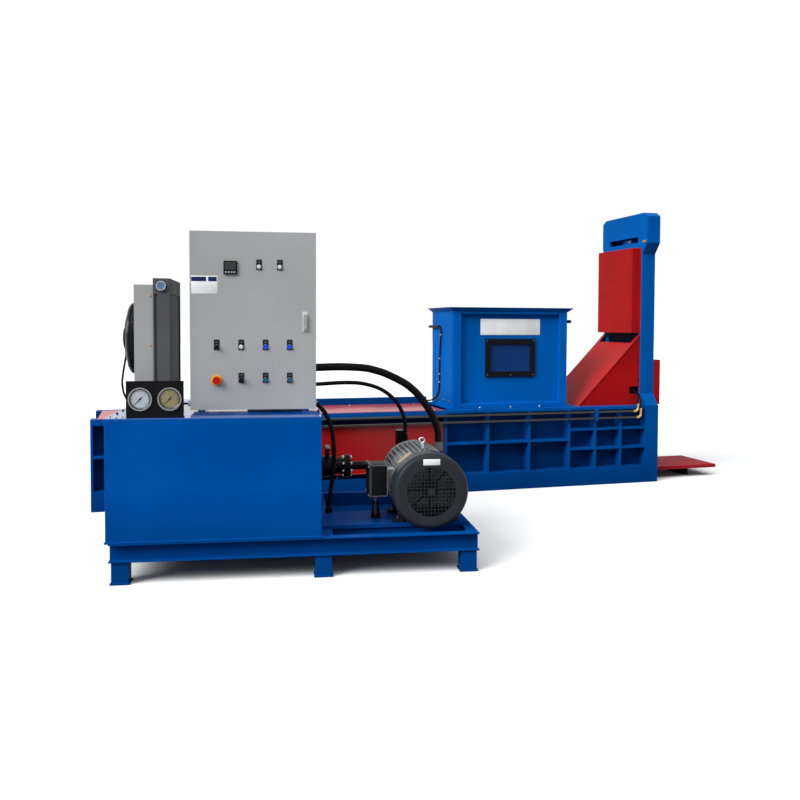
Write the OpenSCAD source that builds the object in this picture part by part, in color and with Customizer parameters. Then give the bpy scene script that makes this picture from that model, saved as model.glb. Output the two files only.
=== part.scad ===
// Horizontal scrap metal baler: press with hopper and gate tower, and its hydraulic power unit

/* [Press] */
// Length of the press bed
press_length = 4738; // [4600:1:5200]
// Depth of the press bed
press_depth = 790; // [780:1:900]
// Height of the side frames' top
press_height = 680; // [660:1:720]
// Height of the bed beam
bed_height = 150; // [120:1:170]
// Depth of one ribbed side frame
wall_depth = 130; // [120:1:140]
// Thickness of the chamber's inner wall plate
wall_skin = 25; // [16:1:30]
// Thickness of the ribs
rib = 18; // [12:1:24]
// Thickness of the top flange
flange = 25; // [16:1:30]
// Length of the chamber section up to the right end
chamber_length = 1991; // [1978:1:2030]
// Spacing of the wide bays' ribs
wide_pitch = 374; // [360:1:380]
// Spacing of the narrow bays' ribs
narrow_pitch = 248; // [240:1:250]
// Length of the posts that carry the tower
post_length = 130; // [120:1:160]

/* [Ram] */
// Stroke of the main ram
ram_stroke = 1300; // [800:10:1300]
// Lead of the drawn-back ram's face into the chamber section
ram_lead = 63; // [40:1:70]
// Length of the ram
ram_length = 1310; // [1250:1:1400]
// Thickness of the ram's pressing plate
ram_plate = 60; // [40:1:80]
// Outer radius of the main cylinder
cylinder_r = 122; // [110:1:130]
// Inner radius of the main cylinder
cylinder_bore = 100; // [90:1:105]
// Radius of the main piston rod
main_rod_r = 70; // [50:1:80]

/* [Hopper] */
// Left side of the hopper from the start of the chamber section
hopper_offset = 93; // [83:1:103]
// Near side of the hopper's walls
hopper_y = 126; // [122:1:130]
// Length of the hopper
hopper_length = 1056; // [1000:1:1080]
// Width of the hopper
hopper_width = 529; // [520:1:536]
// Height of the hopper's rim above the floor
hopper_top = 1533; // [1400:1:1600]
// Sheet thickness of the hopper
hopper_sheet = 6; // [4:1:8]
// Width of the front frame's side bars
hopper_bar = 70; // [50:1:90]
// Length of the window with its frame
window_length = 458; // [400:1:500]
// Height of the window with its frame
window_height = 324; // [280:1:360]

/* [Tower] */
// Height of the tower's top
tower_top = 2383; // [2300:1:2450]
// Height of the tower's head
head_height = 268; // [250:1:300]
// Thickness of the tower's plates
tower_plate = 25; // [16:1:28]
// Near edge of the tower's column
column_near = 85; // [80:1:90]
// Far edge of the tower's column
column_far = 745; // [735:1:755]
// Stroke of the gate
gate_stroke = 500; // [300:10:500]
// Height of the gate
gate_height = 510; // [505:1:525]
// Outer radius of the gate cylinder
gate_cylinder_r = 75; // [70:1:80]

/* [Guards and table] */
// Thickness of the guards' sheet
guard_sheet = 4; // [3:1:6]
// Height of the cylinder section's side guards
side_guard_height = 381; // [300:1:385]
// Depth of the gate guard in front of the tower
gate_guard_depth = 78; // [60:1:90]
// Length of the discharge table
table_length = 695; // [500:1:800]
// Height of the discharge table's top
table_top = 108; // [90:1:115]

/* [Power unit] */
// Place of the skid's front left corner along the press
unit_x = -2160; // [-2300:1:-2000]
// Place of the skid's front left corner across the press
unit_y = -2307; // [-2600:1:-2250]
// Turn of the power unit against the press
unit_turn = -8.1; // [-12:0.1:0]
// Length of the skid
skid_length = 2005; // [1995:1:2100]
// Depth of the skid
skid_depth = 1300; // [1250:1:1400]
// Height of the skid's feet
foot_height = 120; // [80:1:150]
// Height of the skid's rails
rail_height = 100; // [80:1:120]
// Length of the oil tank
tank_length = 1137; // [1135:1:1145]
// Depth of the oil tank
tank_depth = 1200; // [1150:1:1230]
// Height of the oil tank with its lid
tank_height = 665; // [640:1:700]

/* [Cabinet] */
// Width of the control cabinet
cabinet_width = 700; // [690:1:705]
// Height of the control cabinet
cabinet_height = 1000; // [960:1:1100]
// Depth of the control cabinet with its door
cabinet_depth = 250; // [220:1:300]
// Thickness of the cabinet's door
door_depth = 18; // [16:1:22]

/* [Motor and pump] */
// Place of the motor's axis along the skid
motor_u = 1738; // [1730:1:1745]
// Height of the motor's axis above its base
motor_h = 207; // [205:1:215]
// Radius of the motor's frame under the fins
motor_r = 175; // [165:1:180]
// Height of the cooling fins
fin_height = 30; // [20:1:32]
// Number of cooling fins
fin_count = 44; // [30:1:52]
// Radius of the motor's shaft
shaft_r = 27.5; // [20:0.5:30]
// Pitch of the fan cover's mesh
mesh_pitch = 20; // [16:1:28]

/* [Cooler and gauges] */
// Height of the cooler above the tank lid
cooler_height = 749; // [700:1:800]
// Depth of the cooler across the skid
cooler_width = 510; // [480:1:540]
// Radius of the cooler's fan opening
fan_r = 200; // [180:1:210]
// Radius of the gauges' bezels
gauge_r = 62; // [55:1:66]

/* [Hidden] */
$fn = 64;

// Colours
blue = "#0A4FA0";
red = "#B9262B";
black = "#17181A";
grey = "#A9ACAE";
dark_grey = "#3B3E42";
steel = "#B8BCC0";
brass = "#B08D57";
glass_tint = "#2A3F70";
signal_blue = "#1E5FC4";
teal = "#1A8F8A";
signal_red = "#C8201C";

// Clearances: sliding flat faces, running fits and loose round fits
slide_gap = 0.3;
side_gap = 2;
run_fit = 0.1;
loose_fit = 0.4;
eps = 1;

// Press: derived places
chamber_start = press_length - chamber_length;
wall_far = press_depth - wall_depth;
mid_y = press_depth / 2;
post_x = press_length - post_length;
narrow_start = chamber_start + 3 * wide_pitch;
flange_z = press_height - flange;
roof_t = 40;
roof_z = press_height - roof_t;
axis_z = 400;
rear_post = 480;
guard_y = 10;
rail_lip = 44;
rail_lip_t = 20;
side_guard_z = 190;
side_guard_top = side_guard_z + side_guard_height;
rear_bays = 5;
rear_pitch = (chamber_start - rear_post) / rear_bays;
groove_x0 = post_x + tower_plate;
groove_x1 = press_length - tower_plate;
groove_depth = 33;
cover_margin = 50;
cover_gap = 4;
cover_joint = (cover_margin + chamber_start) / 2;
upstand_x0 = cover_joint - 94;
upstand_x1 = chamber_start + 43;
upstand_depth = 50;
upstand_height = 62;

// Pipes on the near side
pipe_r = 11;
pipe_y = -14;
pipe_upper_z = 637;
pipe_lower_z = 583;
pipe_start = 1250;
pipe_upper_end = post_x - 133;
pipe_lower_end = post_x - 102;
fitting_r = 13.5;
clamp_width = 24;
clamp_depth = 30;
clamp_low = 560;
clamp_high = 660;
clamp_rear_x = 1400;

// Main cylinder
bulkhead_x = 40;
bulkhead_t = 60;
cylinder_x = bulkhead_x + bulkhead_t;
cap_t = 50;
cap_r = 190;
gland_t = 60;
gland_r = 135;
boss_r = 98;
piston_t = 80;
piston_gap = 2;
cylinder_spare = 110;
cylinder_end = cylinder_x + cap_t + piston_t + ram_stroke + gland_t + cylinder_spare;
ram_front = chamber_start + ram_lead;
ram_drop = 10;
ram_wall = 20;
ram_roof = 30;
ram_top = roof_z - ram_drop;
rod_foot_r = 110;
rod_foot_t = 30;

// Hopper
hopper_x = chamber_start + hopper_offset;
hopper_flange = 15;
hopper_margin = 25;
lip_height = 35;
lip_out = 36;
hopper_far = hopper_y + hopper_width;
hopper_right = hopper_x + hopper_length;
hopper_base = press_height + hopper_flange;
front_proud = 20;
front_y = hopper_y - front_proud;
front_depth = 44;
panel_t = 6;
panel_y = front_y + front_depth - panel_t;
frame_foot = 27;
frame_head = 20;
window_offset = 303;
window_x = hopper_x + window_offset;
window_z = 945;
window_rim = 45;
window_lap = 22;
window_proud = 15;
sensor_r = 12;
sensor_off = sensor_r + 1;
sensor_near = 440;
sensor_z = 1370;

// Tower
head_low = tower_top - head_height;
head_near = 10;
head_far = 790;
neck_z = head_low - 95;
flare_z = press_height + 100;
flare_far = 780;
chamfer_y = 57;
chamfer_z = 33;
side_t = 12;
slot_y0 = 160;
slot_y1 = 665;
slot_z0 = 2127;
slot_z1 = 2176;
beam_z = slot_z1 + 14;
cyl_window_y = 85;
cyl_window_z0 = 1328;
cyl_window_z1 = 2065;
gate_x = (groove_x0 + groove_x1) / 2;
gate_t = groove_x1 - groove_x0 - 2 * side_gap;
gate_edge = wall_depth - groove_depth + side_gap;
gate_rod_r = 40;
gate_bore = 60;
gate_piston_t = 60;
gate_wall_t = 30;
gate_spare = 90;
gate_barrel_z0 = 1330;
gate_barrel_z1 = gate_barrel_z0 + 2 * gate_wall_t + gate_piston_t + gate_stroke + gate_spare;
lug_t = 60;
manifold_l = 90;
manifold_low = [post_x - manifold_l, 180, 788];
manifold_high = [post_x, 230, 835];

// Guards and table
slope_run = 606;
slope_x = post_x - slope_run;
slope_y0 = 98;
slope_y1 = 750;
slope_top = 1306;
notch_x0 = post_x - 100;
notch_x1 = post_x - 8;
notch_z0 = 778;
notch_z1 = 842;
gate_guard_z0 = 1320;
gate_guard_z1 = 2075;
exit_guard_depth = 62;
exit_guard_top = 1081;
table_y0 = 125;
table_y1 = 670;
table_edge = 30;
table_foot_x = 432;
table_foot_w = 50;

// Power unit
rail_top = foot_height + rail_height;
rail_depth = 58;
rail_flange = 8;
rail_web = 8;
cross_u = 1130;
base_t = 20;
base_top = rail_top + base_t;
base_v0 = 200;
base_v1 = 560;
tank_u = -14;
tank_v = 5;
tank_right = tank_u + tank_length;
tank_wall = 6;
lid_t = 8;
tank_top = rail_top + tank_height;
stand_height = 17;
motor_w = base_top + motor_h;
suction_v = 1000;
suction_w = 450;

// Cabinet
cabinet_u = 402;
cabinet_v = 257;
cabinet_w = tank_top + stand_height;
cabinet_right = cabinet_u + cabinet_width;
cabinet_sheet = 3;
door_sheet = 2;
door_back = cabinet_v + door_depth;
column_u = [548, 683, 818, 953];
row_high = 1255;
row_low = 1068;
pilot_w = 1705;
pilot_u = [783, 899];
bezel_r = 15;
bezel_t = 8;
cap_rr = 12;
stem_r = 8;
hole_r = 11;
cap_proud = 3;
cap_back = 4;
stem_tail = 5;
stop_collar_r = 29;
controller_u = 625;
controller_w = 1700;
controller_size = 75;
lock_u = 1041;
lock_w0 = 1340;
lock_height = 115;
lock_w1 = lock_w0 + lock_height;

// Motor along the skid's depth
cover_v = 50;
cover_r = 216;
cover_t = 3;
frame_v0 = 190;
frame_v1 = 690;
flange_v1 = 712;
flange_r = 205;
mesh_r = 140;
bell_v1 = 880;
pump_v1 = 1060;
pump_r = 105;
block_half = 95;
block_v1 = 1140;

// Cooler and gauges
cooler_u0 = 105;
cooler_u1 = 209;
cooler_u2 = 298;
cooler_v = 220;
cooler_mid_v = cooler_v + cooler_width / 2;
cooler_mid_w = 1300;
cooler_top = tank_top + cooler_height;
header = 85;
cooler_leg = 75;
panel_u0 = 94;
panel_u1 = 392;
panel_v = 28;
panel_sheet = 4;
panel_height = 196;
gauge_u = [168, 320];
gauge_w = tank_top + 100;
dial_v = 20;
needle_rest = -135;

// Hose and cable routes
thick_route = [[1060, 800, 1110], [1090, 800, 1110], [1140, 804, 1112], [1277, 827, 1114], [1432, 855, 1105],
    [1520, 869, 1085], [1601, 883, 1055], [1731, 910, 984], [1829, 938, 888], [1904, 968, 774],
    [1940, 994, 690], [1948, 1002, 650], [1949, 1003, 630], [1949, 1003, 600]];
thin_route = [[1060, 800, 1004], [1090, 800, 1004], [1140, 803, 1006], [1306, 821, 1013], [1431, 843, 1003],
    [1549, 864, 963], [1644, 886, 886], [1698, 912, 791], [1714, 935, 725],
    [1716, 940, 690], [1716, 940, 655]];
motor_gland = [cabinet_right, 430, 925];
motor_gland_l = 22;
motor_gland_turn = 135;
gland_way = [sin(motor_gland_turn), 0, cos(motor_gland_turn)];
motor_cable_route = [motor_gland + motor_gland_l * gland_way, motor_gland + 1.6 * motor_gland_l * gland_way,
    [1146, 433, 880], [1167, 440, 850], [1188, 452, 808], [1205, 470, 745], [1215, 492, 670], [1219, 512, 590],
    [1216, 527, 500], [1207, 538, 415], [1198, 543, 350], [1192, 545, 310], [1190, 545, 285], [1190, 545, 262]];
fan_cable_route = [[22, 475, 1240], [22, 475, 1220], [21, 462, 1188], [19, 435, 1150], [18, 395, 1105],
    [24, 330, 1050], [50, 245, 992], [96, 172, 953], [166, 140, 937], [240, 172, 935], [300, 235, 935],
    [338, 284, 935], [366, 300, 935], [386, 300, 935]];
sensor_points = [[-sensor_off, sensor_near, sensor_z], [-sensor_off, 424, sensor_z], [-sensor_off, 402, 1365],
    [-sensor_off, 385, 1351], [-sensor_off, 377, 1326], [-sensor_off, 380, 1296], [-sensor_off, 393, 1240],
    [-sensor_off, 407, 1150], [-sensor_off, 413, 1050], [-sensor_off, 413, 960], [-sensor_off, 414, 880],
    [-14, 430, 812], [-18, 472, 762], [-28, 530, 731], [-42, 590, 716], [-58, 636, 712], [-62, 650, 712],
    [-62, 662, 712]];
sensor_route = [for (p = sensor_points) p + [hopper_x, 0, 0]];
gate_upper_points = [[-87, -14, 700], [-87, -14, 735], [-88, -4, 765], [-86, 24, 795], [-78, 64, 811],
    [-72, 110, 815], [-71, 150, 815], [-71, 180, 815]];
gate_upper_route = [for (p = gate_upper_points) p + [post_x, 0, 0]];
gate_lower_points = [[-58, -14, 661], [-58, -14, 700], [-57, -6, 735], [-54, 16, 765], [-49, 52, 787],
    [-45, 100, 797], [-44, 150, 800], [-44, 180, 800]];
gate_lower_route = [for (p = gate_lower_points) p + [post_x, 0, 0]];
thick_r = 25;
thin_r = 13;
motor_cable_r = 13;
fan_cable_r = 6;
sensor_cable_r = 7;
gate_hose_r = 7;

// Shared placing and shapes
module press() {
    translate([-press_length / 2, -press_depth / 2, 0]) children();
}
module unit() {
    translate([unit_x, unit_y, 0]) rotate([0, 0, unit_turn]) children();
}
module box(a, b) {
    translate(a) cube(b - a);
}
module rod_x(x0, x1, y, z, r) {
    translate([x0, y, z]) rotate([0, 90, 0]) cylinder(h = x1 - x0, r = r);
}
module rod_y(y0, y1, x, z, r) {
    translate([x, y0, z]) rotate([-90, 0, 0]) cylinder(h = y1 - y0, r = r);
}
module rod_z(z0, z1, x, y, r) {
    translate([x, y, z0]) cylinder(h = z1 - z0, r = r);
}
module along_x(x0, x1) {
    translate([x0, 0, 0]) rotate([90, 0, 90]) linear_extrude(x1 - x0) children();
}
module along_y(y0, y1) {
    translate([0, y1, 0]) rotate([90, 0, 0]) linear_extrude(y1 - y0) children();
}
module across() {
    translate([0, press_depth, 0]) mirror([0, 1, 0]) children();
}
function unit_of(v) = v / norm(v);
function heading(p, i) = unit_of(p[min(i + 1, len(p) - 1)] - p[max(i - 1, 0)]);
function ring(p, i, r, n, side) =
    let (t = heading(p, i), a = unit_of(cross(side, t)), b = cross(t, a))
    [for (k = [0:n - 1]) p[i] + r * (cos(360 * k / n) * a + sin(360 * k / n) * b)];
module tube(p, r, n, side) {
    last = len(p) - 1;
    polyhedron(
        points = [for (i = [0:last]) each ring(p, i, r, n, side)],
        faces = concat(
            [[for (k = [0:n - 1]) k]],
            [for (i = [0:last - 1]) for (k = [0:n - 1])
                [i * n + k, (i + 1) * n + k, (i + 1) * n + (k + 1) % n, i * n + (k + 1) % n]],
            [[for (k = [n - 1:-1:0]) last * n + k]]
        )
    );
}

// Press bed: one long closed beam under the chamber and the cylinder
module bed() {
    color(blue) press() box([0, 0, 0], [press_length, press_depth, bed_height]);
}

// Ribbed side frame with its inner plate, flange, ribs and gate post
module upright(x, y0, z1) {
    box([x - rib / 2, y0, bed_height], [x + rib / 2, wall_depth - wall_skin, z1]);
}
module shelf(x0, x1, z) {
    box([x0, 0, z - rib / 2], [x1, wall_depth - wall_skin, z + rib / 2]);
}
module side_frame() {
    bay_height = flange_z - bed_height;
    difference() {
        union() {
            box([0, wall_depth - wall_skin, bed_height], [press_length, wall_depth, press_height]);
            box([0, 0, flange_z], [press_length, wall_depth - wall_skin, press_height]);
            box([0, 0, press_height - rail_lip], [chamber_start, rail_lip_t, flange_z]);
            box([post_x, 0, bed_height], [press_length, wall_depth - wall_skin, flange_z]);
            upright(rib / 2, 0, flange_z);
            upright(rear_post, 0, flange_z);
            shelf(0, rear_post, bed_height + bay_height / 2);
            for (k = [1:rear_bays - 1]) {
                upright(rear_post + k * rear_pitch, guard_y + guard_sheet, side_guard_top);
            }
            for (k = [0:3]) {
                upright(chamber_start + k * wide_pitch, 0, flange_z);
            }
            for (k = [1:2]) {
                upright(narrow_start + k * narrow_pitch, 0, flange_z);
            }
            shelf(chamber_start, narrow_start, bed_height + bay_height / 2);
            for (k = [1:2]) {
                shelf(narrow_start, post_x, bed_height + k * bay_height / 3);
            }
        }
        box([groove_x0, wall_depth - groove_depth, bed_height - eps],
            [groove_x1, wall_depth + eps, press_height + eps]);
    }
}
module pipe_clamp(x) {
    difference() {
        box([x - clamp_width / 2, -clamp_depth, clamp_low], [x + clamp_width / 2, 0, clamp_high]);
        rod_x(x - clamp_width, x + clamp_width, pipe_y, pipe_upper_z, pipe_r + loose_fit);
        rod_x(x - clamp_width, x + clamp_width, pipe_y, pipe_lower_z, pipe_r + loose_fit);
    }
}
module side_frame_near() {
    color(blue) press() {
        side_frame();
        pipe_clamp(narrow_start + narrow_pitch);
        pipe_clamp(clamp_rear_x);
    }
}
module side_frame_far() {
    color(blue) press() {
        across() side_frame();
        box([upstand_x0, wall_far + side_gap, press_height],
            [upstand_x1, wall_far + side_gap + upstand_depth, press_height + upstand_height]);
    }
}

// Main cylinder with its bulkhead, rod and ram
module cylinder_bulkhead() {
    color(blue) press() difference() {
        box([bulkhead_x, wall_depth, bed_height], [cylinder_x, wall_far, flange_z]);
        rod_x(bulkhead_x - eps, cylinder_x + eps, mid_y, axis_z, boss_r + loose_fit);
    }
}
module main_cylinder() {
    color(dark_grey) press() difference() {
        union() {
            rod_x(bulkhead_x, cylinder_x, mid_y, axis_z, boss_r);
            rod_x(cylinder_x, cylinder_x + cap_t, mid_y, axis_z, cap_r);
            rod_x(cylinder_x + cap_t, cylinder_end, mid_y, axis_z, cylinder_r);
            rod_x(cylinder_end - gland_t, cylinder_end, mid_y, axis_z, gland_r);
        }
        rod_x(cylinder_x + cap_t, cylinder_end - gland_t, mid_y, axis_z, cylinder_bore);
        rod_x(cylinder_end - gland_t - eps, cylinder_end + eps, mid_y, axis_z, main_rod_r + slide_gap);
    }
}
module main_rod() {
    piston_x = cylinder_x + cap_t + piston_gap;
    foot_x = ram_front - ram_plate;
    color(steel) press() {
        rod_x(piston_x, piston_x + piston_t, mid_y, axis_z, cylinder_bore - slide_gap);
        rod_x(piston_x + piston_t, foot_x, mid_y, axis_z, main_rod_r);
        rod_x(foot_x - rod_foot_t, foot_x, mid_y, axis_z, rod_foot_r);
    }
}
module ram_head() {
    ram_near = wall_depth + side_gap;
    ram_far = wall_far - side_gap;
    ram_low = bed_height + slide_gap;
    ram_back = ram_front - ram_length;
    color(steel) press() difference() {
        box([ram_back, ram_near, ram_low], [ram_front, ram_far, ram_top]);
        box([ram_back - eps, ram_near + ram_wall, ram_low - eps],
            [ram_front - ram_plate, ram_far - ram_wall, ram_top - ram_roof]);
    }
}
module side_guard() {
    lip = 16;
    x0 = rear_post + rib;
    x1 = chamber_start - rib;
    box([x0, guard_y, side_guard_z], [x1, guard_y + guard_sheet, side_guard_top]);
    box([x0, guard_y - lip, side_guard_z], [x1, guard_y, side_guard_z + guard_sheet]);
}
module cylinder_guards() {
    cover_x = [cover_margin, cover_joint - cover_gap, cover_joint, chamber_start - rib / 2];
    color(red) press() {
        side_guard();
        across() side_guard();
        for (k = [0, 2]) {
            box([cover_x[k], rail_lip_t, press_height],
                [cover_x[k + 1], wall_far + side_gap, press_height + guard_sheet]);
        }
    }
}

// Hopper: walls, base flange, flared rim and the chamber's roof
module hopper_shell() {
    z1 = hopper_top - lip_height;
    color(blue) press() {
        difference() {
            union() {
                box([hopper_x - hopper_margin, hopper_y - hopper_margin, press_height],
                    [hopper_right + hopper_margin, hopper_far + hopper_margin, hopper_base]);
                box([hopper_x, hopper_y, hopper_base], [hopper_right, hopper_far, z1]);
            }
            box([hopper_x + hopper_sheet, hopper_y - hopper_margin - eps, hopper_base],
                [hopper_right - hopper_sheet, hopper_far - hopper_sheet, z1 + eps]);
            box([hopper_x + hopper_sheet, wall_depth, press_height - eps],
                [hopper_right - hopper_sheet, hopper_far - hopper_sheet, hopper_base + eps]);
        }
        box([hopper_right, wall_depth, roof_z], [post_x, wall_far, press_height]);
        hopper_rim(z1);
    }
}
rim_slice = 0.1;
module rim_block(z, grow, inset) {
    box([hopper_x - grow + inset, front_y - grow + inset, z],
        [hopper_right + grow - inset, hopper_far + grow - inset, z + rim_slice]);
}
module hopper_rim(z1) {
    difference() {
        hull() {
            rim_block(z1, 0, 0);
            rim_block(hopper_top - rim_slice, lip_out, 0);
        }
        hull() {
            rim_block(z1 - eps, -lip_out * eps / lip_height, hopper_sheet);
            rim_block(hopper_top + eps, lip_out * (1 + eps / lip_height), hopper_sheet);
        }
    }
}
module hopper_front() {
    x0 = hopper_x + hopper_sheet;
    x1 = hopper_right - hopper_sheet;
    z1 = hopper_top - lip_height;
    color(blue) press() difference() {
        box([x0, front_y, hopper_base], [x1, front_y + front_depth, z1]);
        box([x0 + hopper_bar, front_y - eps, hopper_base + frame_foot],
            [x1 - hopper_bar, panel_y, z1 - frame_head]);
        box([window_x + window_lap - loose_fit, panel_y - eps, window_z + window_lap - loose_fit],
            [window_x + window_length - window_lap + loose_fit, panel_y + 2 * front_depth,
             window_z + window_height - window_lap + loose_fit]);
    }
}
module window_frame() {
    color(black) press() difference() {
        box([window_x, panel_y - window_proud, window_z],
            [window_x + window_length, panel_y, window_z + window_height]);
        box([window_x + window_rim, panel_y - front_depth, window_z + window_rim],
            [window_x + window_length - window_rim, panel_y + eps, window_z + window_height - window_rim]);
    }
}
module window_pane() {
    color(glass_tint) press()
        box([window_x + window_lap, panel_y, window_z + window_lap],
            [window_x + window_length - window_lap, panel_y + panel_t - eps,
                window_z + window_height - window_lap]);
}
module level_sensors() {
    sensor_far = 695;
    clip = 20;
    sensor_x = hopper_x - sensor_off;
    right_y = 150;
    right_z = 1418;
    right_r = 14;
    right_l = 48;
    color(black) press() {
        rod_y(sensor_near, sensor_far, sensor_x, sensor_z, sensor_r);
        for (y = [sensor_near + clip, hopper_far - 2 * clip]) {
            box([sensor_x, y, sensor_z - sensor_r / 2], [hopper_x, y + clip, sensor_z + sensor_r / 2]);
        }
        rod_x(hopper_right, hopper_right + right_l, right_y, right_z, right_r);
    }
}
module sensor_cable() {
    color(black) press() tube(sensor_route, sensor_cable_r, 8, [1, 0, 0.02]);
}

// Tower outline across the press, drawn inward by t
function tower_outline(t, low) = [
    [head_near + t, low], [column_near + t, flare_z], [column_near + t, neck_z], [head_near + t, head_low],
    [head_near + t, tower_top - chamfer_z - t], [head_near + chamfer_y + t, tower_top - t],
    [head_far - chamfer_y - t, tower_top - t], [head_far - t, tower_top - chamfer_z - t],
    [head_far - t, head_low], [column_far - t, neck_z], [column_far - t, flare_z], [flare_far - t, low]];
module cylinder_window() {
    translate([mid_y - cyl_window_y, cyl_window_z0]) square([2 * cyl_window_y, cyl_window_z1 - cyl_window_z0]);
}
module tower_front_plate() {
    color(blue) press() {
        along_x(post_x, groove_x0) difference() {
            polygon(tower_outline(0, press_height));
            translate([slot_y0, slot_z0]) square([slot_y1 - slot_y0, slot_z1 - slot_z0]);
            cylinder_window();
        }
        box(manifold_low, manifold_high);
    }
}
module tower_frame() {
    color(blue) press() {
        along_x(groove_x1, press_length) difference() {
            polygon(tower_outline(0, press_height));
            cylinder_window();
        }
        along_x(groove_x0, groove_x1) difference() {
            polygon(tower_outline(0, press_height));
            polygon(tower_outline(side_t, press_height - eps));
        }
        box([groove_x0, head_near + side_t, beam_z],
            [groove_x1, head_far - side_t, tower_top - chamfer_z - side_t]);
        box([groove_x0, wall_far + groove_depth, press_height],
            [groove_x1, column_far - side_t, cyl_window_z0]);
    }
}
module gate() {
    gate_top = bed_height + gate_height;
    rod_top = gate_barrel_z0 + gate_wall_t;
    color(steel) press() {
        box([gate_x - gate_t / 2, gate_edge, bed_height],
            [gate_x + gate_t / 2, press_depth - gate_edge, gate_top]);
        box([gate_x - lug_t / 3, mid_y - lug_t, gate_top],
            [gate_x + lug_t / 3, mid_y + lug_t, gate_top + lug_t]);
        rod_z(gate_top + lug_t, rod_top, gate_x, mid_y, gate_rod_r);
        rod_z(rod_top, rod_top + gate_piston_t, gate_x, mid_y, gate_bore - slide_gap);
    }
}
module gate_cylinder() {
    ear_out = 65;
    ear_t = 20;
    eye_half = 43;
    ear_x = 33;
    ear_drop = 80;
    pin_drop = 45;
    pin_r = 15;
    pin_proud = 5;
    color(blue) press() {
        difference() {
            rod_z(gate_barrel_z0, gate_barrel_z1, gate_x, mid_y, gate_cylinder_r);
            rod_z(gate_barrel_z0 + gate_wall_t, gate_barrel_z1 - gate_wall_t, gate_x, mid_y, gate_bore);
            rod_z(gate_barrel_z0 - eps, gate_barrel_z0 + gate_wall_t + eps, gate_x, mid_y,
                gate_rod_r + slide_gap);
        }
        box([gate_x - ear_x, mid_y - eye_half, gate_barrel_z1],
            [gate_x + ear_x, mid_y + eye_half, beam_z - ear_t]);
        rod_y(mid_y - ear_out - pin_proud, mid_y + ear_out + pin_proud, gate_x, beam_z - pin_drop, pin_r);
        for (s = [-1, 1]) {
            box([gate_x - ear_x, mid_y + s * (ear_out - ear_t / 2) - ear_t / 2, beam_z - ear_drop],
                [gate_x + ear_x, mid_y + s * (ear_out - ear_t / 2) + ear_t / 2, beam_z - ear_t / 2]);
        }
        box([gate_x - ear_x, mid_y - ear_out, beam_z - ear_t / 2], [gate_x + ear_x, mid_y + ear_out, beam_z]);
    }
}

// Sheet guards on the tower: over the gate cylinder and over the raised gate
module tower_guards() {
    x0 = post_x - gate_guard_depth;
    t = guard_sheet;
    y0 = slope_y0 + side_gap;
    lap = 18;
    lean = 4;
    y1 = slope_y1;
    section = [[post_x, y0], [post_x - t, y0], [post_x - t, y0 + lap], [x0, y0 + lap + lean],
        [x0, y1 - lap - lean], [post_x - t, y1 - lap], [post_x - t, y1], [post_x, y1],
        [post_x, y1 - lap - t], [x0 + t, y1 - lap - lean - t], [x0 + t, y0 + lap + lean + t],
        [post_x, y0 + lap + t]];
    lid = [[post_x, y0 + lap + t], [x0 + t, y0 + lap + lean + t], [x0 + t, y1 - lap - lean - t],
        [post_x, y1 - lap - t]];
    exit_inset = 5;
    exit_y0 = column_near - exit_inset;
    exit_y1 = column_far - exit_inset;
    exit_x1 = press_length + exit_guard_depth;
    color(red) press() {
        translate([0, 0, gate_guard_z0]) linear_extrude(gate_guard_z1 - gate_guard_z0) polygon(section);
        translate([0, 0, gate_guard_z1 - t]) linear_extrude(t) polygon(lid);
        difference() {
            box([press_length, exit_y0, press_height], [exit_x1, exit_y1, exit_guard_top]);
            box([press_length - eps, exit_y0 + t, press_height - eps],
                [exit_x1 - t, exit_y1 - t, exit_guard_top - t]);
        }
    }
}
module slope_guard() {
    fold = 6;
    side_inset = 6;
    t = guard_sheet;
    mouth_x = post_x - 72;
    mouth_edge = 46;
    color(red) press() {
        difference() {
            along_y(slope_y0, slope_y1) polygon([[slope_x, press_height], [slope_x + fold, press_height],
                [post_x, slope_top - fold], [post_x, slope_top]]);
            box([mouth_x, slope_y0 + mouth_edge, press_height],
                [post_x + eps, slope_y1 - mouth_edge, slope_top + eps]);
        }
        along_y(slope_y0 + side_inset, slope_y0 + side_inset + t) difference() {
            polygon([[slope_x + fold, press_height], [post_x, press_height], [post_x, slope_top - fold]]);
            translate([notch_x0, notch_z0]) square([notch_x1 - notch_x0, notch_z1 - notch_z0]);
        }
        along_y(slope_y1 - side_inset - t, slope_y1 - side_inset)
            polygon([[slope_x + fold, press_height], [post_x, press_height], [post_x, slope_top - fold]]);
    }
}
module discharge_table() {
    x1 = press_length + table_length;
    t = guard_sheet;
    foot_x = press_length + table_foot_x;
    foot_inset = 125;
    color(red) press() {
        difference() {
            box([press_length, table_y0, table_top - table_edge], [x1, table_y1, table_top]);
            box([press_length + t, table_y0 + t, table_top - table_edge - eps],
                [x1 - t, table_y1 - t, table_top - t]);
        }
        box([foot_x, table_y0 + foot_inset, 0], [foot_x + table_foot_w, table_y1 - foot_inset, table_top - t]);
    }
}

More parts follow.
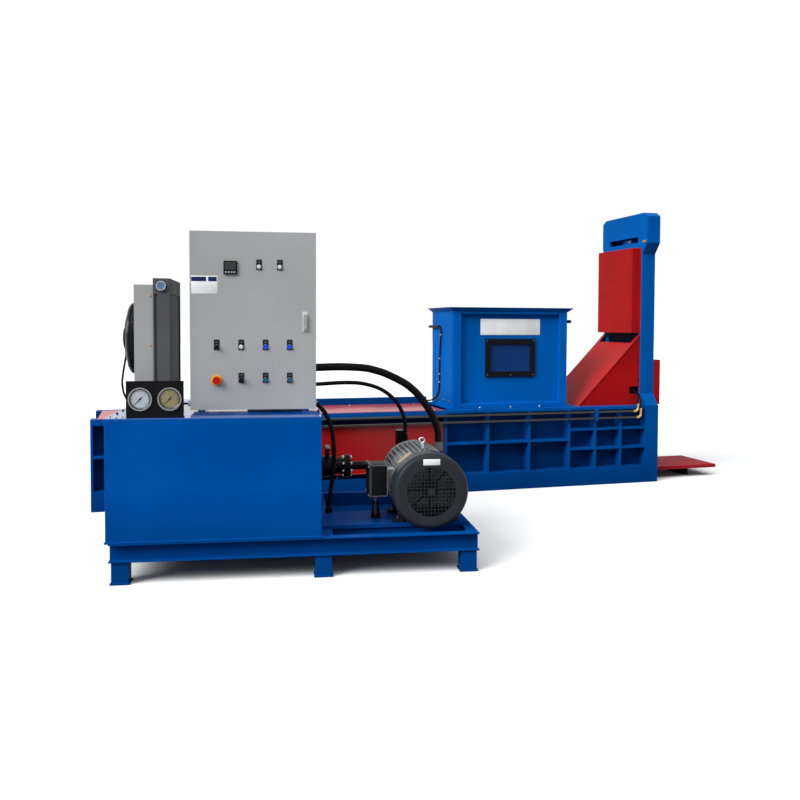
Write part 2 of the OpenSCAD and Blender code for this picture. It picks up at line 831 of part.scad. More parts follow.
// Pressure pipes along the near side with their elbows and the hoses to the gate
module pressure_pipes() {
    nut_l = 40;
    color(black) press() for (p = [[pipe_upper_z, pipe_upper_end], [pipe_lower_z, pipe_lower_end]]) {
        rod_x(pipe_start, p[1], pipe_y, p[0], pipe_r);
        rod_x(pipe_start - nut_l, pipe_start, pipe_y, p[0], fitting_r);
    }
}
module elbow(x0, z, x1, z1) {
    bend = 24;
    nut_l = 20;
    rod_x(x0, x1 - bend, pipe_y, z, pipe_r);
    rod_x(x0, x0 + nut_l / 2, pipe_y, z, fitting_r);
    translate([x1 - bend, pipe_y, z + bend]) rotate([90, 0, 0])
        rotate_extrude(angle = -90) translate([bend, 0]) circle(pipe_r);
    rod_z(z + bend, z1, x1, pipe_y, pipe_r);
    rod_z(z1 - nut_l, z1, x1, pipe_y, fitting_r);
}
module pipe_elbows() {
    color(brass) press() {
        elbow(pipe_upper_end, pipe_upper_z, gate_upper_route[0][0], gate_upper_route[0][2]);
        elbow(pipe_lower_end, pipe_lower_z, gate_lower_route[0][0], gate_lower_route[0][2]);
    }
}
module gate_hose_upper() {
    color(black) press() tube(gate_upper_route, gate_hose_r, 10, [1, 0.3, -0.2]);
}
module gate_hose_lower() {
    color(black) press() tube(gate_lower_route, gate_hose_r, 10, [1, 0.3, -0.2]);
}

// Power unit: skid with feet, tray and motor base
module rail_u(v, flip) {
    translate([0, v, foot_height]) mirror([0, flip, 0]) difference() {
        cube([skid_length, rail_depth, rail_height]);
        translate([-eps, -eps, rail_flange])
            cube([skid_length + 2 * eps, rail_depth - rail_web + eps, rail_height - 2 * rail_flange]);
    }
}
module rail_v(u) {
    box([u, rail_depth, foot_height], [u + rail_depth, skid_depth - rail_depth, rail_top]);
}
module skid() {
    foot = 90;
    foot_plate = 104;
    foot_plate_t = 10;
    foot_edge = foot_plate / 2 + 6;
    mid_foot_u = cross_u + 4;
    color(blue) unit() {
        rail_u(0, 0);
        rail_u(skid_depth, 1);
        rail_v(0);
        rail_v(skid_length - rail_depth);
        rail_v(cross_u);
        for (u = [foot_edge, mid_foot_u, skid_length - foot_edge]) {
            for (v = [foot_edge, skid_depth - foot_edge]) {
                box([u - foot / 2, v - foot / 2, 0], [u + foot / 2, v + foot / 2, foot_height]);
                box([u - foot_plate / 2, v - foot_plate / 2, 0],
                    [u + foot_plate / 2, v + foot_plate / 2, foot_plate_t]);
            }
        }
    }
}
module motor_base() {
    tray_t = 4;
    beam = 60;
    gland_r = 20;
    z0 = foot_height + rail_flange;
    u0 = cross_u + rail_depth;
    u1 = skid_length - rail_depth;
    cable_end = motor_cable_route[len(motor_cable_route) - 1];
    color(blue) unit() {
        box([u0, rail_depth, z0], [u1, skid_depth - rail_depth, z0 + tray_t]);
        for (v = [base_v0 + beam / 3, base_v1 - beam / 3 - beam]) {
            box([u0, v, z0], [u1, v + beam, rail_top]);
        }
        box([cross_u, base_v0, rail_top], [skid_length - rail_depth / 3, base_v1, base_top]);
        rod_z(base_top, cable_end[2], cable_end[0], cable_end[1], gland_r);
    }
}
module oil_tank() {
    lip = 6;
    lip_h = 10;
    z1 = tank_top - lid_t;
    tank_far = tank_v + tank_depth;
    outlet_r = 30;
    color(blue) unit() difference() {
        union() {
            box([tank_u, tank_v, rail_top], [tank_right, tank_far, z1]);
            box([tank_u - lip, tank_v - lip, rail_top], [tank_right + lip, tank_far + lip, rail_top + lip_h]);
        }
        box([tank_u + tank_wall, tank_v + tank_wall, rail_top + tank_wall],
            [tank_right - tank_wall, tank_far - tank_wall, z1 + eps]);
        rod_x(tank_right - 2 * tank_wall, tank_right + eps, suction_v, suction_w, outlet_r);
    }
}
module tank_lid() {
    stand = 40;
    color(blue) unit() {
        box([tank_u, tank_v, tank_top - lid_t], [tank_right, tank_v + tank_depth, tank_top]);
        for (u = [cabinet_u + stand, cabinet_right - 2 * stand]) {
            box([u, door_back, tank_top], [u + stand, cabinet_v + cabinet_depth, cabinet_w]);
        }
    }
}

// Gauges on their panel
module gauge_panel() {
    foot = 48;
    hole = 45;
    color(black) unit() difference() {
        union() {
            box([panel_u0, panel_v, tank_top], [panel_u1, panel_v + panel_sheet, tank_top + panel_height]);
            box([panel_u0, panel_v, tank_top], [panel_u1, panel_v + foot, tank_top + panel_sheet]);
        }
        for (u = gauge_u) {
            rod_y(panel_v - eps, panel_v + panel_sheet + eps, u, gauge_w, hole);
        }
    }
}
module gauges() {
    bezel_t = 16;
    rim = 7;
    case_r = 44;
    case_v = 75;
    color(steel) unit() for (u = gauge_u) {
        difference() {
            rod_y(panel_v - bezel_t, panel_v, u, gauge_w, gauge_r);
            rod_y(panel_v - bezel_t - eps, dial_v, u, gauge_w, gauge_r - rim);
        }
        rod_y(panel_v, case_v, u, gauge_w, case_r);
    }
}
module needle(u, turn) {
    hub_r = 5;
    tip = 44;
    tail = 14;
    half = 1.6;
    hub_t = 5;
    blade_t = 2;
    color(black) unit() translate([u, 0, gauge_w]) rotate([0, turn, 0]) {
        rod_y(dial_v - hub_t, dial_v, 0, 0, hub_r);
        along_y(dial_v - 2 * blade_t, dial_v - blade_t)
            polygon([[-half * 2, -tail], [half * 2, -tail], [half / 2, tip], [-half / 2, tip]]);
    }
}
module needle_left() {
    needle(gauge_u[0], needle_rest);
}
module needle_right() {
    needle(gauge_u[1], needle_rest);
}

// Oil cooler: core with headers, shroud, fan and its motor with the wire guard
module cooler_core() {
    wall = 15;
    recess = 6;
    groove = [8, 22];
    groove_depth = 8;
    port_r = 25;
    port_l = 12;
    core_low = tank_top + cooler_leg;
    fin_low = core_low + header;
    fin_high = cooler_top - header;
    v1 = cooler_v + cooler_width;
    leg = 40;
    color(dark_grey) unit() {
        difference() {
            box([cooler_u1, cooler_v, core_low], [cooler_u2, v1, cooler_top]);
            box([cooler_u1 - eps, cooler_v + wall, fin_low], [cooler_u1 + recess, v1 - wall, fin_high]);
            box([cooler_u2 - recess, cooler_v + wall, fin_low], [cooler_u2 + eps, v1 - wall, fin_high]);
            box([cooler_u1 + groove[0], cooler_v - eps, core_low - eps],
                [cooler_u1 + groove[1], cooler_v + groove_depth, fin_high]);
        }
        for (v = [cooler_v + leg, v1 - 2 * leg]) {
            box([cooler_u1, v, tank_top], [cooler_u2, v + leg, core_low]);
        }
        rod_y(cooler_v - port_l, cooler_v, (cooler_u1 + cooler_u2) / 2, cooler_top - header / 2, port_r);
    }
}
module cooler_shroud() {
    inset = 15;
    sheet = 3;
    drop = 35;
    z0 = tank_top + cooler_leg + drop;
    z1 = cooler_top - drop;
    v0 = cooler_v + inset;
    v1 = cooler_v + cooler_width - inset;
    color(grey) unit() difference() {
        box([cooler_u0, v0, z0], [cooler_u1, v1, z1]);
        box([cooler_u0 + sheet, v0 + sheet, z0 + sheet], [cooler_u1 + eps, v1 - sheet, z1 - sheet]);
        rod_x(cooler_u0 - eps, cooler_u0 + sheet + eps, cooler_mid_v, cooler_mid_w, fan_r);
    }
}
fan_shaft_r = 12;
fan_motor_u0 = 15;
fan_motor_u1 = 98;
fan_seat = 30;
module cooler_fan() {
    hub_r = 45;
    hub_u = [115, 165];
    blade = [4, 46, 140];
    blade_root = 5;
    blade_turn = 50;
    blades = 7;
    color(black) unit() {
        rod_x(hub_u[0], hub_u[1], cooler_mid_v, cooler_mid_w, hub_r);
        rod_x(fan_motor_u0 + 2 * fan_seat, hub_u[0], cooler_mid_v, cooler_mid_w, fan_shaft_r);
        for (k = [0:blades - 1]) {
            translate([(hub_u[0] + hub_u[1]) / 2, cooler_mid_v, cooler_mid_w]) rotate([k * 360 / blades, 0, 0])
                translate([0, 0, hub_r - blade_root]) rotate([0, 0, blade_turn])
                    translate([-blade[0] / 2, -blade[1] / 2, 0]) cube(blade);
        }
    }
}
// Domed wire guard: each ring is a radius and its reach out of the shroud
module guard_spoke(rings, wire) {
    for (i = [0:len(rings) - 2]) {
        rise = rings[i + 1][0] - rings[i][0];
        out = rings[i][1] - rings[i + 1][1];
        translate([-rings[i][1], 0, rings[i][0]]) rotate([0, atan2(out, rise), 0])
            cylinder(h = norm([rise, out]), r = wire);
    }
}
module cooler_fan_motor() {
    motor_r2 = 60;
    wire = 3;
    spoke_wire = 2.5;
    spokes = 8;
    rings = [[205, 3], [205, 30], [188, 52], [140, 66], [92, 72]];
    root = [motor_r2 - spoke_wire, 72];
    color(black) unit() {
        difference() {
            rod_x(fan_motor_u0, fan_motor_u1, cooler_mid_v, cooler_mid_w, motor_r2);
            rod_x(fan_motor_u0 + fan_seat, fan_motor_u1 + eps, cooler_mid_v, cooler_mid_w,
                fan_shaft_r + run_fit);
        }
        for (g = rings) {
            translate([cooler_u0 - g[1], cooler_mid_v, cooler_mid_w]) rotate([0, 90, 0])
                rotate_extrude() translate([g[0], 0]) circle(wire);
        }
        for (k = [0:spokes - 1]) {
            translate([cooler_u0, cooler_mid_v, cooler_mid_w]) rotate([(k + 0.5) * 360 / spokes, 0, 0])
                guard_spoke(concat(rings, [root]), spoke_wire);
        }
    }
}

// Control cabinet, its door, switchgear and controls
module cabinet_body() {
    v1 = cabinet_v + cabinet_depth;
    w1 = cabinet_w + cabinet_height;
    s = cabinet_sheet;
    gland = 16;
    gland_r = 15;
    gland_root = 6;
    fan_end = fan_cable_route[len(fan_cable_route) - 1];
    color(grey) unit() {
        difference() {
            box([cabinet_u, door_back, cabinet_w], [cabinet_right, v1, w1]);
            box([cabinet_u + s, door_back - eps, cabinet_w + s], [cabinet_right - s, v1 - s, w1 - s]);
        }
        translate(motor_gland) rotate([0, motor_gland_turn, 0]) translate([0, 0, -gland_root])
            cylinder(h = motor_gland_l + gland_root, r = gland_r);
        rod_x(cabinet_u - gland, cabinet_u, fan_end[1], fan_end[2], gland_r);
    }
}
module door_hole(u, w) {
    rod_y(cabinet_v - eps, cabinet_v + door_sheet + eps, u, w, hole_r);
}
module cabinet_door() {
    w1 = cabinet_w + cabinet_height;
    s = door_sheet;
    half = controller_size / 2 - door_sheet;
    color(grey) unit() difference() {
        box([cabinet_u, cabinet_v, cabinet_w], [cabinet_right, door_back, w1]);
        box([cabinet_u + s, cabinet_v + s, cabinet_w + s], [cabinet_right - s, door_back + eps, w1 - s]);
        for (u = column_u) {
            for (w = [row_low, row_high]) {
                door_hole(u, w);
            }
        }
        for (u = pilot_u) {
            door_hole(u, pilot_w);
        }
        box([controller_u - half, cabinet_v - eps, controller_w - half],
            [controller_u + half, cabinet_v + s + eps, controller_w + half]);
    }
}
module switchgear() {
    plate_gap = 16;
    plate_t = 3;
    plate_v = cabinet_v + cabinet_depth - cabinet_sheet - plate_gap;
    margin = 38;
    u0 = cabinet_u + margin;
    u1 = cabinet_right - margin;
    w0 = cabinet_w + margin;
    w1 = cabinet_w + cabinet_height - margin;
    back = cabinet_v + cabinet_depth - cabinet_sheet;
    contactor = [70, 85, 110];
    contactor_pitch = 110;
    contactor_drop = 240;
    drive = [140, 85, 90];
    drive_pitch = 180;
    drive_drop = 480;
    duct = [30, 50, 30];
    duct_w = [w0 + 190, w0 + 520, w1 - 290, w1 - 80];
    terminals = [480, 50, 40];
    terminal_w = w0 + 90;
    color(steel) unit() {
        box([u0, plate_v, w0], [u1, plate_v + plate_t, w1]);
        for (u = [u0 + margin, u1 - margin]) {
            for (w = [w0 + margin, w1 - margin]) {
                rod_y(plate_v + plate_t, back, u, w, stem_r);
            }
        }
        for (k = [0:4]) {
            translate([u0 + margin + k * contactor_pitch, plate_v - contactor[1], w1 - contactor_drop])
                cube(contactor);
        }
        for (k = [0:2]) {
            translate([u0 + margin + k * drive_pitch, plate_v - drive[1], w1 - drive_drop]) cube(drive);
        }
        for (w = duct_w) {
            translate([u0 + margin / 2, plate_v - duct[1], w]) cube([u1 - u0 - margin, duct[1], duct[2]]);
        }
        translate([u0 + margin, plate_v - terminals[1], terminal_w]) cube(terminals);
    }
}
module push_cap(u, w) {
    rod_y(cabinet_v - bezel_t - cap_proud, cabinet_v - cap_back, u, w, cap_rr);
    rod_y(cabinet_v - cap_back, door_back - stem_tail, u, w, stem_r);
}
module button_blue_left() {
    color(signal_blue) unit() push_cap(column_u[2], row_high);
}
module button_blue_right() {
    color(signal_blue) unit() push_cap(column_u[3], row_high);
}
module button_teal_left() {
    color(teal) unit() push_cap(column_u[2], row_low);
}
module button_teal_right() {
    color(teal) unit() push_cap(column_u[3], row_low);
}
module stop_button() {
    head_r = 21;
    head_front = cabinet_v - 35;
    head_back = cabinet_v - 20;
    neck_back = cabinet_v - 6;
    color(signal_red) unit() {
        rod_y(head_front, head_back, column_u[0], row_low, head_r);
        rod_y(head_back, neck_back, column_u[0], row_low, cap_rr);
        rod_y(neck_back, door_back - stem_tail - eps, column_u[0], row_low, stem_r);
    }
}
module selector(u, w, reach) {
    dial = 12;
    grip = 14;
    half = 4;
    rod_y(cabinet_v - dial, cabinet_v - eps, u, w, cap_rr);
    rod_y(cabinet_v - eps, door_back - stem_tail, u, w, stem_r);
    box([u - half, cabinet_v - dial - grip, w - cap_rr + eps], [u + half, cabinet_v - dial, w + reach]);
}
module selector_upper() {
    color(black) unit() selector(column_u[0], row_high, cap_rr - eps);
}
module selector_lower() {
    pointer = 10;
    color(black) unit() selector(column_u[1], row_low, cap_rr + pointer);
}
module bezel(u, w, r) {
    difference() {
        rod_y(cabinet_v - bezel_t, cabinet_v, u, w, r);
        rod_y(cabinet_v - bezel_t - eps, cabinet_v + eps, u, w, cap_rr + loose_fit);
    }
}
module lamp(u, w) {
    lens = 6;
    rod_y(cabinet_v - bezel_t, cabinet_v, u, w, bezel_r);
    rod_y(cabinet_v - bezel_t - lens, cabinet_v - bezel_t, u, w, cap_rr);
    rod_y(cabinet_v, door_back - stem_tail, u, w, hole_r - loose_fit);
}
module legend(u, w) {
    half = 16;
    low = 17;
    high = 42;
    t = 1.5;
    difference() {
        box([u - half, cabinet_v - t, w - low], [u + half, cabinet_v, w + high]);
        rod_y(cabinet_v - t - eps, cabinet_v + eps, u, w, cap_rr + loose_fit);
    }
}
module door_fittings() {
    lock_half = 16;
    lock_t = 3;
    screen = 26;
    screen_depth = 3;
    case_t = 12;
    half = controller_size / 2;
    color(black) unit() {
        for (u = column_u) {
            legend(u, row_high);
        }
        for (u = [column_u[0], column_u[2], column_u[3]]) {
            bezel(u, row_high, bezel_r);
        }
        for (u = [column_u[1], column_u[2], column_u[3]]) {
            bezel(u, row_low, bezel_r);
            legend(u, row_low);
        }
        bezel(column_u[0], row_low, stop_collar_r);
        lamp(column_u[1], row_high);
        for (u = pilot_u) {
            lamp(u, pilot_w);
            legend(u, pilot_w);
        }
        difference() {
            box([controller_u - half, cabinet_v - case_t, controller_w - half],
                [controller_u + half, cabinet_v, controller_w + half]);
            box([controller_u - screen, cabinet_v - case_t - eps, controller_w - screen / 2],
                [controller_u + screen, cabinet_v - case_t + screen_depth, controller_w + screen]);
        }
        box([lock_u - lock_half, cabinet_v - lock_t, lock_w0], [lock_u + lock_half, cabinet_v, lock_w1]);
    }
}
module lock_handle() {
    half = 10;
    base_t = 3;
    handle_t = 11;
    foot = 8;
    head = 15;
    color(dark_grey) unit()
        box([lock_u - half, cabinet_v - base_t - handle_t, lock_w0 + foot],
            [lock_u + half, cabinet_v - base_t, lock_w1 - head]);
}

// Electric motor: finned frame, fan cover, rotor
module motor_frame() {
    fin_t = 5;
    fin_root = 5;
    shield_v = 178;
    shield_r = cover_r - cover_t - slide_gap;
    pad = [65, 60, 22];
    pad_inner = 130;
    web = [35, 40, motor_h - 80];
    web_inset = 10;
    foot_v = [225, 470];
    terminal_low = [motor_u - 324, 225, motor_w - 52];
    terminal_high = [motor_u - 228, 400, motor_w + 126];
    neck_low = [motor_u - 230, 255, motor_w - 30];
    neck_high = [motor_u - 150, 370, motor_w + 96];
    terminal_lid = 10;
    lid_lap = 5;
    boot_u = motor_u - 281;
    boot_v = 370;
    boot_low_r = 28;
    boot_high_r = 11;
    eye_u = motor_u - 13;
    eye_v = 320;
    eye_w = motor_w + motor_r + fin_height;
    eye_collar_r = 11;
    eye_collar = [12, 34];
    eye_r = 15;
    eye_wire = 5;
    eye_rise = 50;
    color(dark_grey) unit() {
        difference() {
            union() {
                rod_y(frame_v0, frame_v1, motor_u, motor_w, motor_r);
                rod_y(shield_v, frame_v0, motor_u, motor_w, shield_r);
                rod_y(frame_v1, flange_v1, motor_u, motor_w, flange_r);
                for (k = [0:fin_count - 1]) {
                    translate([motor_u, frame_v0, motor_w]) rotate([0, k * 360 / fin_count, 0])
                        translate([-fin_t / 2, 0, motor_r - fin_root])
                            cube([fin_t, frame_v1 - frame_v0, fin_height + fin_root]);
                }
                for (v = foot_v) {
                    for (s = [0, 1]) {
                        translate([motor_u, v, base_top]) mirror([s, 0, 0]) translate([pad_inner, 0, 0]) {
                            cube(pad);
                            translate([0, web_inset, 0]) cube(web);
                        }
                    }
                }
                box(terminal_low, terminal_high);
                box(neck_low, neck_high);
                box(terminal_low - [terminal_lid, lid_lap, lid_lap],
                    [terminal_low[0], terminal_high[1] + lid_lap, terminal_high[2] + lid_lap]);
            }
            rod_y(shield_v - eps, flange_v1 + eps, motor_u, motor_w, shaft_r + run_fit);
        }
        translate([boot_u, boot_v, base_top])
            cylinder(h = terminal_low[2] - base_top, r1 = boot_low_r, r2 = boot_high_r);
        rod_z(eye_w - eye_collar[0], eye_w + eye_collar[1], eye_u, eye_v, eye_collar_r);
        translate([eye_u, eye_v, eye_w + eye_rise]) rotate([90, 0, 0]) rotate_extrude()
            translate([eye_r, 0]) circle(eye_wire);
    }
}
module motor_fan_cover() {
    t = cover_t;
    round_r = 34;
    bars = floor(mesh_r / mesh_pitch);
    wire = 3;
    hub = 17;
    color(dark_grey) unit() translate([motor_u, cover_v, motor_w]) rotate([-90, 0, 0]) {
        rotate_extrude() difference() {
            union() {
                translate([mesh_r, 0]) square([cover_r - round_r - mesh_r, frame_v0 - cover_v]);
                translate([mesh_r, round_r]) square([cover_r - mesh_r, frame_v0 - cover_v - round_r]);
                translate([cover_r - round_r, round_r]) circle(round_r);
            }
            translate([mesh_r - eps, t]) square([cover_r - round_r - mesh_r + eps, frame_v0]);
            translate([mesh_r - eps, round_r]) square([cover_r - mesh_r + eps - t, frame_v0]);
            translate([cover_r - round_r, round_r]) circle(round_r - t);
        }
        intersection() {
            cylinder(h = t, r = mesh_r + eps);
            union() {
                for (k = [-bars:bars]) {
                    translate([k * mesh_pitch - wire / 2, -mesh_r - eps, 0])
                        cube([wire, 2 * mesh_r + 2 * eps, t]);
                    translate([-mesh_r - eps, k * mesh_pitch - wire / 2, 0])
                        cube([2 * mesh_r + 2 * eps, wire, t]);
                }
                translate([-hub, -hub, 0]) cube([2 * hub, 2 * hub, t]);
            }
        }
    }
}
pump_shaft_r = 25;
module motor_rotor() {
    fan_v = [95, 150];
    fan_hub = 50;
    blades = 8;
    blade_r = 180;
    blade_t = 4;
    coupling_v = [735, 815];
    coupling_r = 70;
    blade_edge = 5;
    tail = 30;
    color(steel) unit() {
        rod_y(fan_v[0], coupling_v[0], motor_u, motor_w, shaft_r);
        rod_y(fan_v[0], fan_v[1], motor_u, motor_w, fan_hub);
        for (k = [0:blades - 1]) {
            translate([motor_u, fan_v[0] + blade_edge, motor_w]) rotate([0, k * 360 / blades, 0])
                translate([-blade_t / 2, 0, fan_hub - blade_edge])
                    cube([blade_t, fan_v[1] - fan_v[0] - 2 * blade_edge, blade_r - fan_hub + blade_edge]);
        }
        rod_y(coupling_v[0], coupling_v[1], motor_u, motor_w, coupling_r);
        rod_y(coupling_v[1], bell_v1 + tail, motor_u, motor_w, pump_shaft_r);
    }
}

// Pump with its bell housing, pressure outlet and control block
inlet_reach = 25;
inlet_u = motor_u - pump_r - inlet_reach;
module pump() {
    bell_r = 150;
    bell_wall = 18;
    bell_flange = 15;
    shaft_room = 35;
    outlet_r = 28;
    outlet = thick_route[len(thick_route) - 1];
    outlet_w = motor_w + 10;
    nut_r = 32;
    nut_l = 55;
    inlet_r = 40;
    control_low = [motor_u - 83, bell_v1 + 25, motor_w + 70];
    control_high = [motor_u - 38, bell_v1 + 105, motor_w + 243];
    thin_end = thin_route[len(thin_route) - 1];
    thin_nut_r = 17;
    color(dark_grey) unit() {
        difference() {
            union() {
                rod_y(flange_v1, flange_v1 + bell_flange, motor_u, motor_w, flange_r);
                rod_y(flange_v1 + bell_flange, bell_v1, motor_u, motor_w, bell_r);
                rod_y(bell_v1, pump_v1, motor_u, motor_w, pump_r);
                box([motor_u - block_half, pump_v1, motor_w - block_half],
                    [motor_u + block_half, block_v1, motor_w + block_half]);
                rod_x(inlet_u, motor_u, suction_v, suction_w, inlet_r);
            }
            rod_y(flange_v1 - eps, bell_v1 - bell_wall, motor_u, motor_w, bell_r - bell_wall);
            rod_y(bell_v1 - bell_wall - eps, bell_v1 + shaft_room, motor_u, motor_w, pump_shaft_r + run_fit);
        }
        rod_x(motor_u, outlet[0], outlet[1], outlet_w, outlet_r);
        translate([outlet[0], outlet[1], outlet_w]) sphere(outlet_r);
        rod_z(outlet_w, outlet[2] - nut_l, outlet[0], outlet[1], outlet_r);
        rod_z(outlet[2] - nut_l, outlet[2], outlet[0], outlet[1], nut_r);
        box(control_low, control_high);
        rod_z(control_low[2], thin_end[2], thin_end[0], thin_end[1], thin_nut_r);
    }
}

// Suction line from the tank to the pump, with a butterfly valve and bellows
valve_gap = 80;
valve_u = tank_right + valve_gap;
valve_half = 33;
lever_w = 578;
suction_bore = 24;
disc_t = 6;
module suction_line() {
    tank_flange = [16, 60];
    neck_r = 38;
    valve_r = 68;
    bellows_u = valve_u + valve_half;
    folds = 4;
    fold = 19;
    fold_r = 60;
    dip_r = 50;
    joint = [20, 73];
    gasket = 4;
    joint_u = bellows_u + folds * fold;
    pipe_u = joint_u + 2 * joint[0] + gasket;
    tail_r = 28;
    end_flange = [20, 50];
    neck = 14;
    color(black) unit() difference() {
        union() {
            rod_x(tank_right, tank_right + tank_flange[0], suction_v, suction_w, tank_flange[1]);
            rod_x(tank_right + tank_flange[0], valve_u - valve_half, suction_v, suction_w, neck_r);
            rod_x(valve_u - valve_half, bellows_u, suction_v, suction_w, valve_r);
            box([valve_u - neck, suction_v - neck, suction_w], [valve_u + neck, suction_v + neck, lever_w]);
            for (k = [0:folds - 1]) {
                rod_x(bellows_u + k * fold, bellows_u + k * fold + fold / 2, suction_v, suction_w, fold_r);
                rod_x(bellows_u + k * fold + fold / 2, bellows_u + (k + 1) * fold, suction_v, suction_w, dip_r);
            }
            rod_x(joint_u, joint_u + joint[0], suction_v, suction_w, joint[1]);
            rod_x(joint_u + joint[0], pipe_u - joint[0], suction_v, suction_w, dip_r);
            rod_x(pipe_u - joint[0], pipe_u, suction_v, suction_w, joint[1]);
            rod_x(pipe_u, inlet_u - end_flange[0], suction_v, suction_w, tail_r);
            rod_x(inlet_u - end_flange[0], inlet_u, suction_v, suction_w, end_flange[1]);
        }
        rod_x(tank_right - eps, inlet_u + eps, suction_v, suction_w, suction_bore);
        rod_z(suction_w, lever_w + eps, valve_u, suction_v, stem_r + run_fit);
    }
}
module valve_lever() {
    lever_t = 12;
    lever_l = 170;
    half = 14;
    stem_foot = 4;
    color(black) unit() {
        rod_z(suction_w - suction_bore + stem_foot, lever_w, valve_u, suction_v, stem_r);
        rod_x(valve_u - disc_t / 2, valve_u + disc_t / 2, suction_v, suction_w, suction_bore - loose_fit);
        box([valve_u - half, suction_v - lever_l, lever_w],
            [valve_u + half, suction_v + half, lever_w + lever_t]);
    }
}
module valve_block() {
    port_l = 20;
    thick_port_r = 30;
    thin_port_r = 17;
    right = thick_route[0][0] - port_l;
    block = [340, 210, 265];
    low = [right - block[0], thick_route[0][1] - 110, tank_top];
    valve = [90, 210, 70];
    valve_edge = 15;
    valve_pitch = 110;
    color(steel) unit() {
        box(low, low + block);
        rod_x(right, right + port_l, thick_route[0][1], thick_route[0][2], thick_port_r);
        rod_x(right, right + port_l, thin_route[0][1], thin_route[0][2], thin_port_r);
        for (k = [0:2]) {
            translate(low + [valve_edge + k * valve_pitch, 0, block[2]]) cube(valve);
        }
    }
}
module hose_thick() {
    color(black) unit() tube(thick_route, thick_r, 12, [0, 1, 0]);
}
module hose_thin() {
    color(black) unit() tube(thin_route, thin_r, 10, [0, 1, 0]);
}
module motor_cable() {
    color(black) unit() tube(motor_cable_route, motor_cable_r, 10, [0.6, 1, 0]);
}
module fan_cable() {
    color(black) unit() tube(fan_cable_route, fan_cable_r, 8, [0.4, -0.5, 0.8]);
}

bed();
side_frame_near();
side_frame_far();
cylinder_bulkhead();
main_cylinder();
main_rod();
ram_head();
cylinder_guards();
hopper_shell();
hopper_front();
window_frame();
window_pane();
level_sensors();
sensor_cable();
tower_front_plate();
tower_frame();
gate();
gate_cylinder();
tower_guards();
slope_guard();
discharge_table();
pressure_pipes();
pipe_elbows();
gate_hose_upper();
gate_hose_lower();
skid();
motor_base();
oil_tank();
tank_lid();
gauge_panel();
gauges();
needle_left();
needle_right();
cooler_core();
cooler_shroud();
cooler_fan();
cooler_fan_motor();
cabinet_body();
cabinet_door();
switchgear();
button_blue_left();
button_blue_right();
button_teal_left();
button_teal_right();
stop_button();
selector_upper();
selector_lower();
door_fittings();
lock_handle();
motor_frame();
motor_fan_cover();
motor_rotor();
pump();
suction_line();
valve_lever();
valve_block();
hose_thick();
hose_thin();
motor_cable();
fan_cable();
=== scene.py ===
"""Looks of a horizontal scrap metal baler and its oil power unit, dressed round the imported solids."""

import logging
import math
from dataclasses import dataclass, field
from enum import Enum
from typing import Any, Iterable, Optional, Self, Sequence, Union

import bmesh
import bpy
from mathutils import Matrix, Vector


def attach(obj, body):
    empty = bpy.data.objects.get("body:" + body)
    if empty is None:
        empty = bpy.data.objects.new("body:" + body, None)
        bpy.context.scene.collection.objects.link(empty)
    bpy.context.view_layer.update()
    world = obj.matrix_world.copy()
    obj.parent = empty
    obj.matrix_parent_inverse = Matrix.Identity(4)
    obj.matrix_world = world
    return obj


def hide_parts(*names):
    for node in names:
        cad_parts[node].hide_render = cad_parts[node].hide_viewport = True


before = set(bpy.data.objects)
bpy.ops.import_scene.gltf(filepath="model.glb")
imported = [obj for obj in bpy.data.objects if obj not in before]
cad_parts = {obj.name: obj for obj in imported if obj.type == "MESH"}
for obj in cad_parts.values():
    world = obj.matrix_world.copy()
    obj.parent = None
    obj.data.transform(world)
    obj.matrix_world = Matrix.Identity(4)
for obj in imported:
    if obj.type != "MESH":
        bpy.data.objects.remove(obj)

LOG = logging.getLogger("baler")
MM = 0.001
SHARP_ANGLE = math.radians(32.0)
EDGE_ANGLE = math.radians(40.0)
SEAM = 0.00001
THIN_GLASS_IOR = 1.12
NOISE_BAND = (0.3, 0.7)
TONE_DETAIL = 5.0
BUMP_DETAIL = 2.0
LEAST_ROUGHNESS = 0.03
# Pale film on upward faces: dust, and painted sheen of light on those tops.
DUST_AND_SHEEN_COLOUR = (0.55, 0.53, 0.50, 1.0)
DUST_AND_SHEEN_SCALE = 5.0
DUST_AND_SHEEN_DETAIL = 6.0
DUST_AND_SHEEN_FACING = (0.6, 1.0)
Point = tuple[float, float, float]
Pair = tuple[float, float]
Colour = tuple[float, float, float]
Key = Union[str, int]
Node = bpy.types.Node
Socket = bpy.types.NodeSocket


class Placing(Enum):
    """The two drawing frames that pieces are laid out in, in millimetres."""

    PRESS = "press"
    UNIT = "unit"

    @property
    def matrix(self) -> Matrix:
        """The matrix from this frame's millimetres to the row's metres."""
        scale = Matrix.Scale(MM, 4)
        if self is Placing.PRESS:
            return Matrix.Translation((-2.369, -0.395, 0.0)) @ scale
        turn = Matrix.Rotation(math.radians(-8.1), 4, "Z")
        return Matrix.Translation((-2.160, -2.307, 0.0)) @ turn @ scale


class Way(Enum):
    """Directions that a round piece or a bolt head points in."""

    LEFT = (-1.0, 0.0, 0.0)
    RIGHT = (1.0, 0.0, 0.0)
    NEAR = (0.0, -1.0, 0.0)
    FAR = (0.0, 1.0, 0.0)
    UP = (0.0, 0.0, 1.0)
    SLANT = (math.sqrt(0.5), 0.0, -math.sqrt(0.5))

    @property
    def vector(self) -> Vector:
        """The direction as a vector."""
        return Vector(self.value)


class Grain(Enum):
    """Surface grain of a finish."""

    GLOSS = "gloss paint on plate"
    SHEET = "gloss paint on thin sheet"
    POWDER = "powder coat"
    CAST = "painted casting"
    BRUSHED = "brushed metal"
    RUBBER = "rubber"
    SMOOTH = "smooth"


@dataclass(frozen=True)
class GrainSpec:
    """Numbers behind a grain: fine bump, broad tone and roughness spread."""

    bump_scale: float
    bump_strength: float
    bump_depth: float
    tone_scale: float
    tone_spread: float
    rough_spread: float
    stretch: Point = (1.0, 1.0, 1.0)


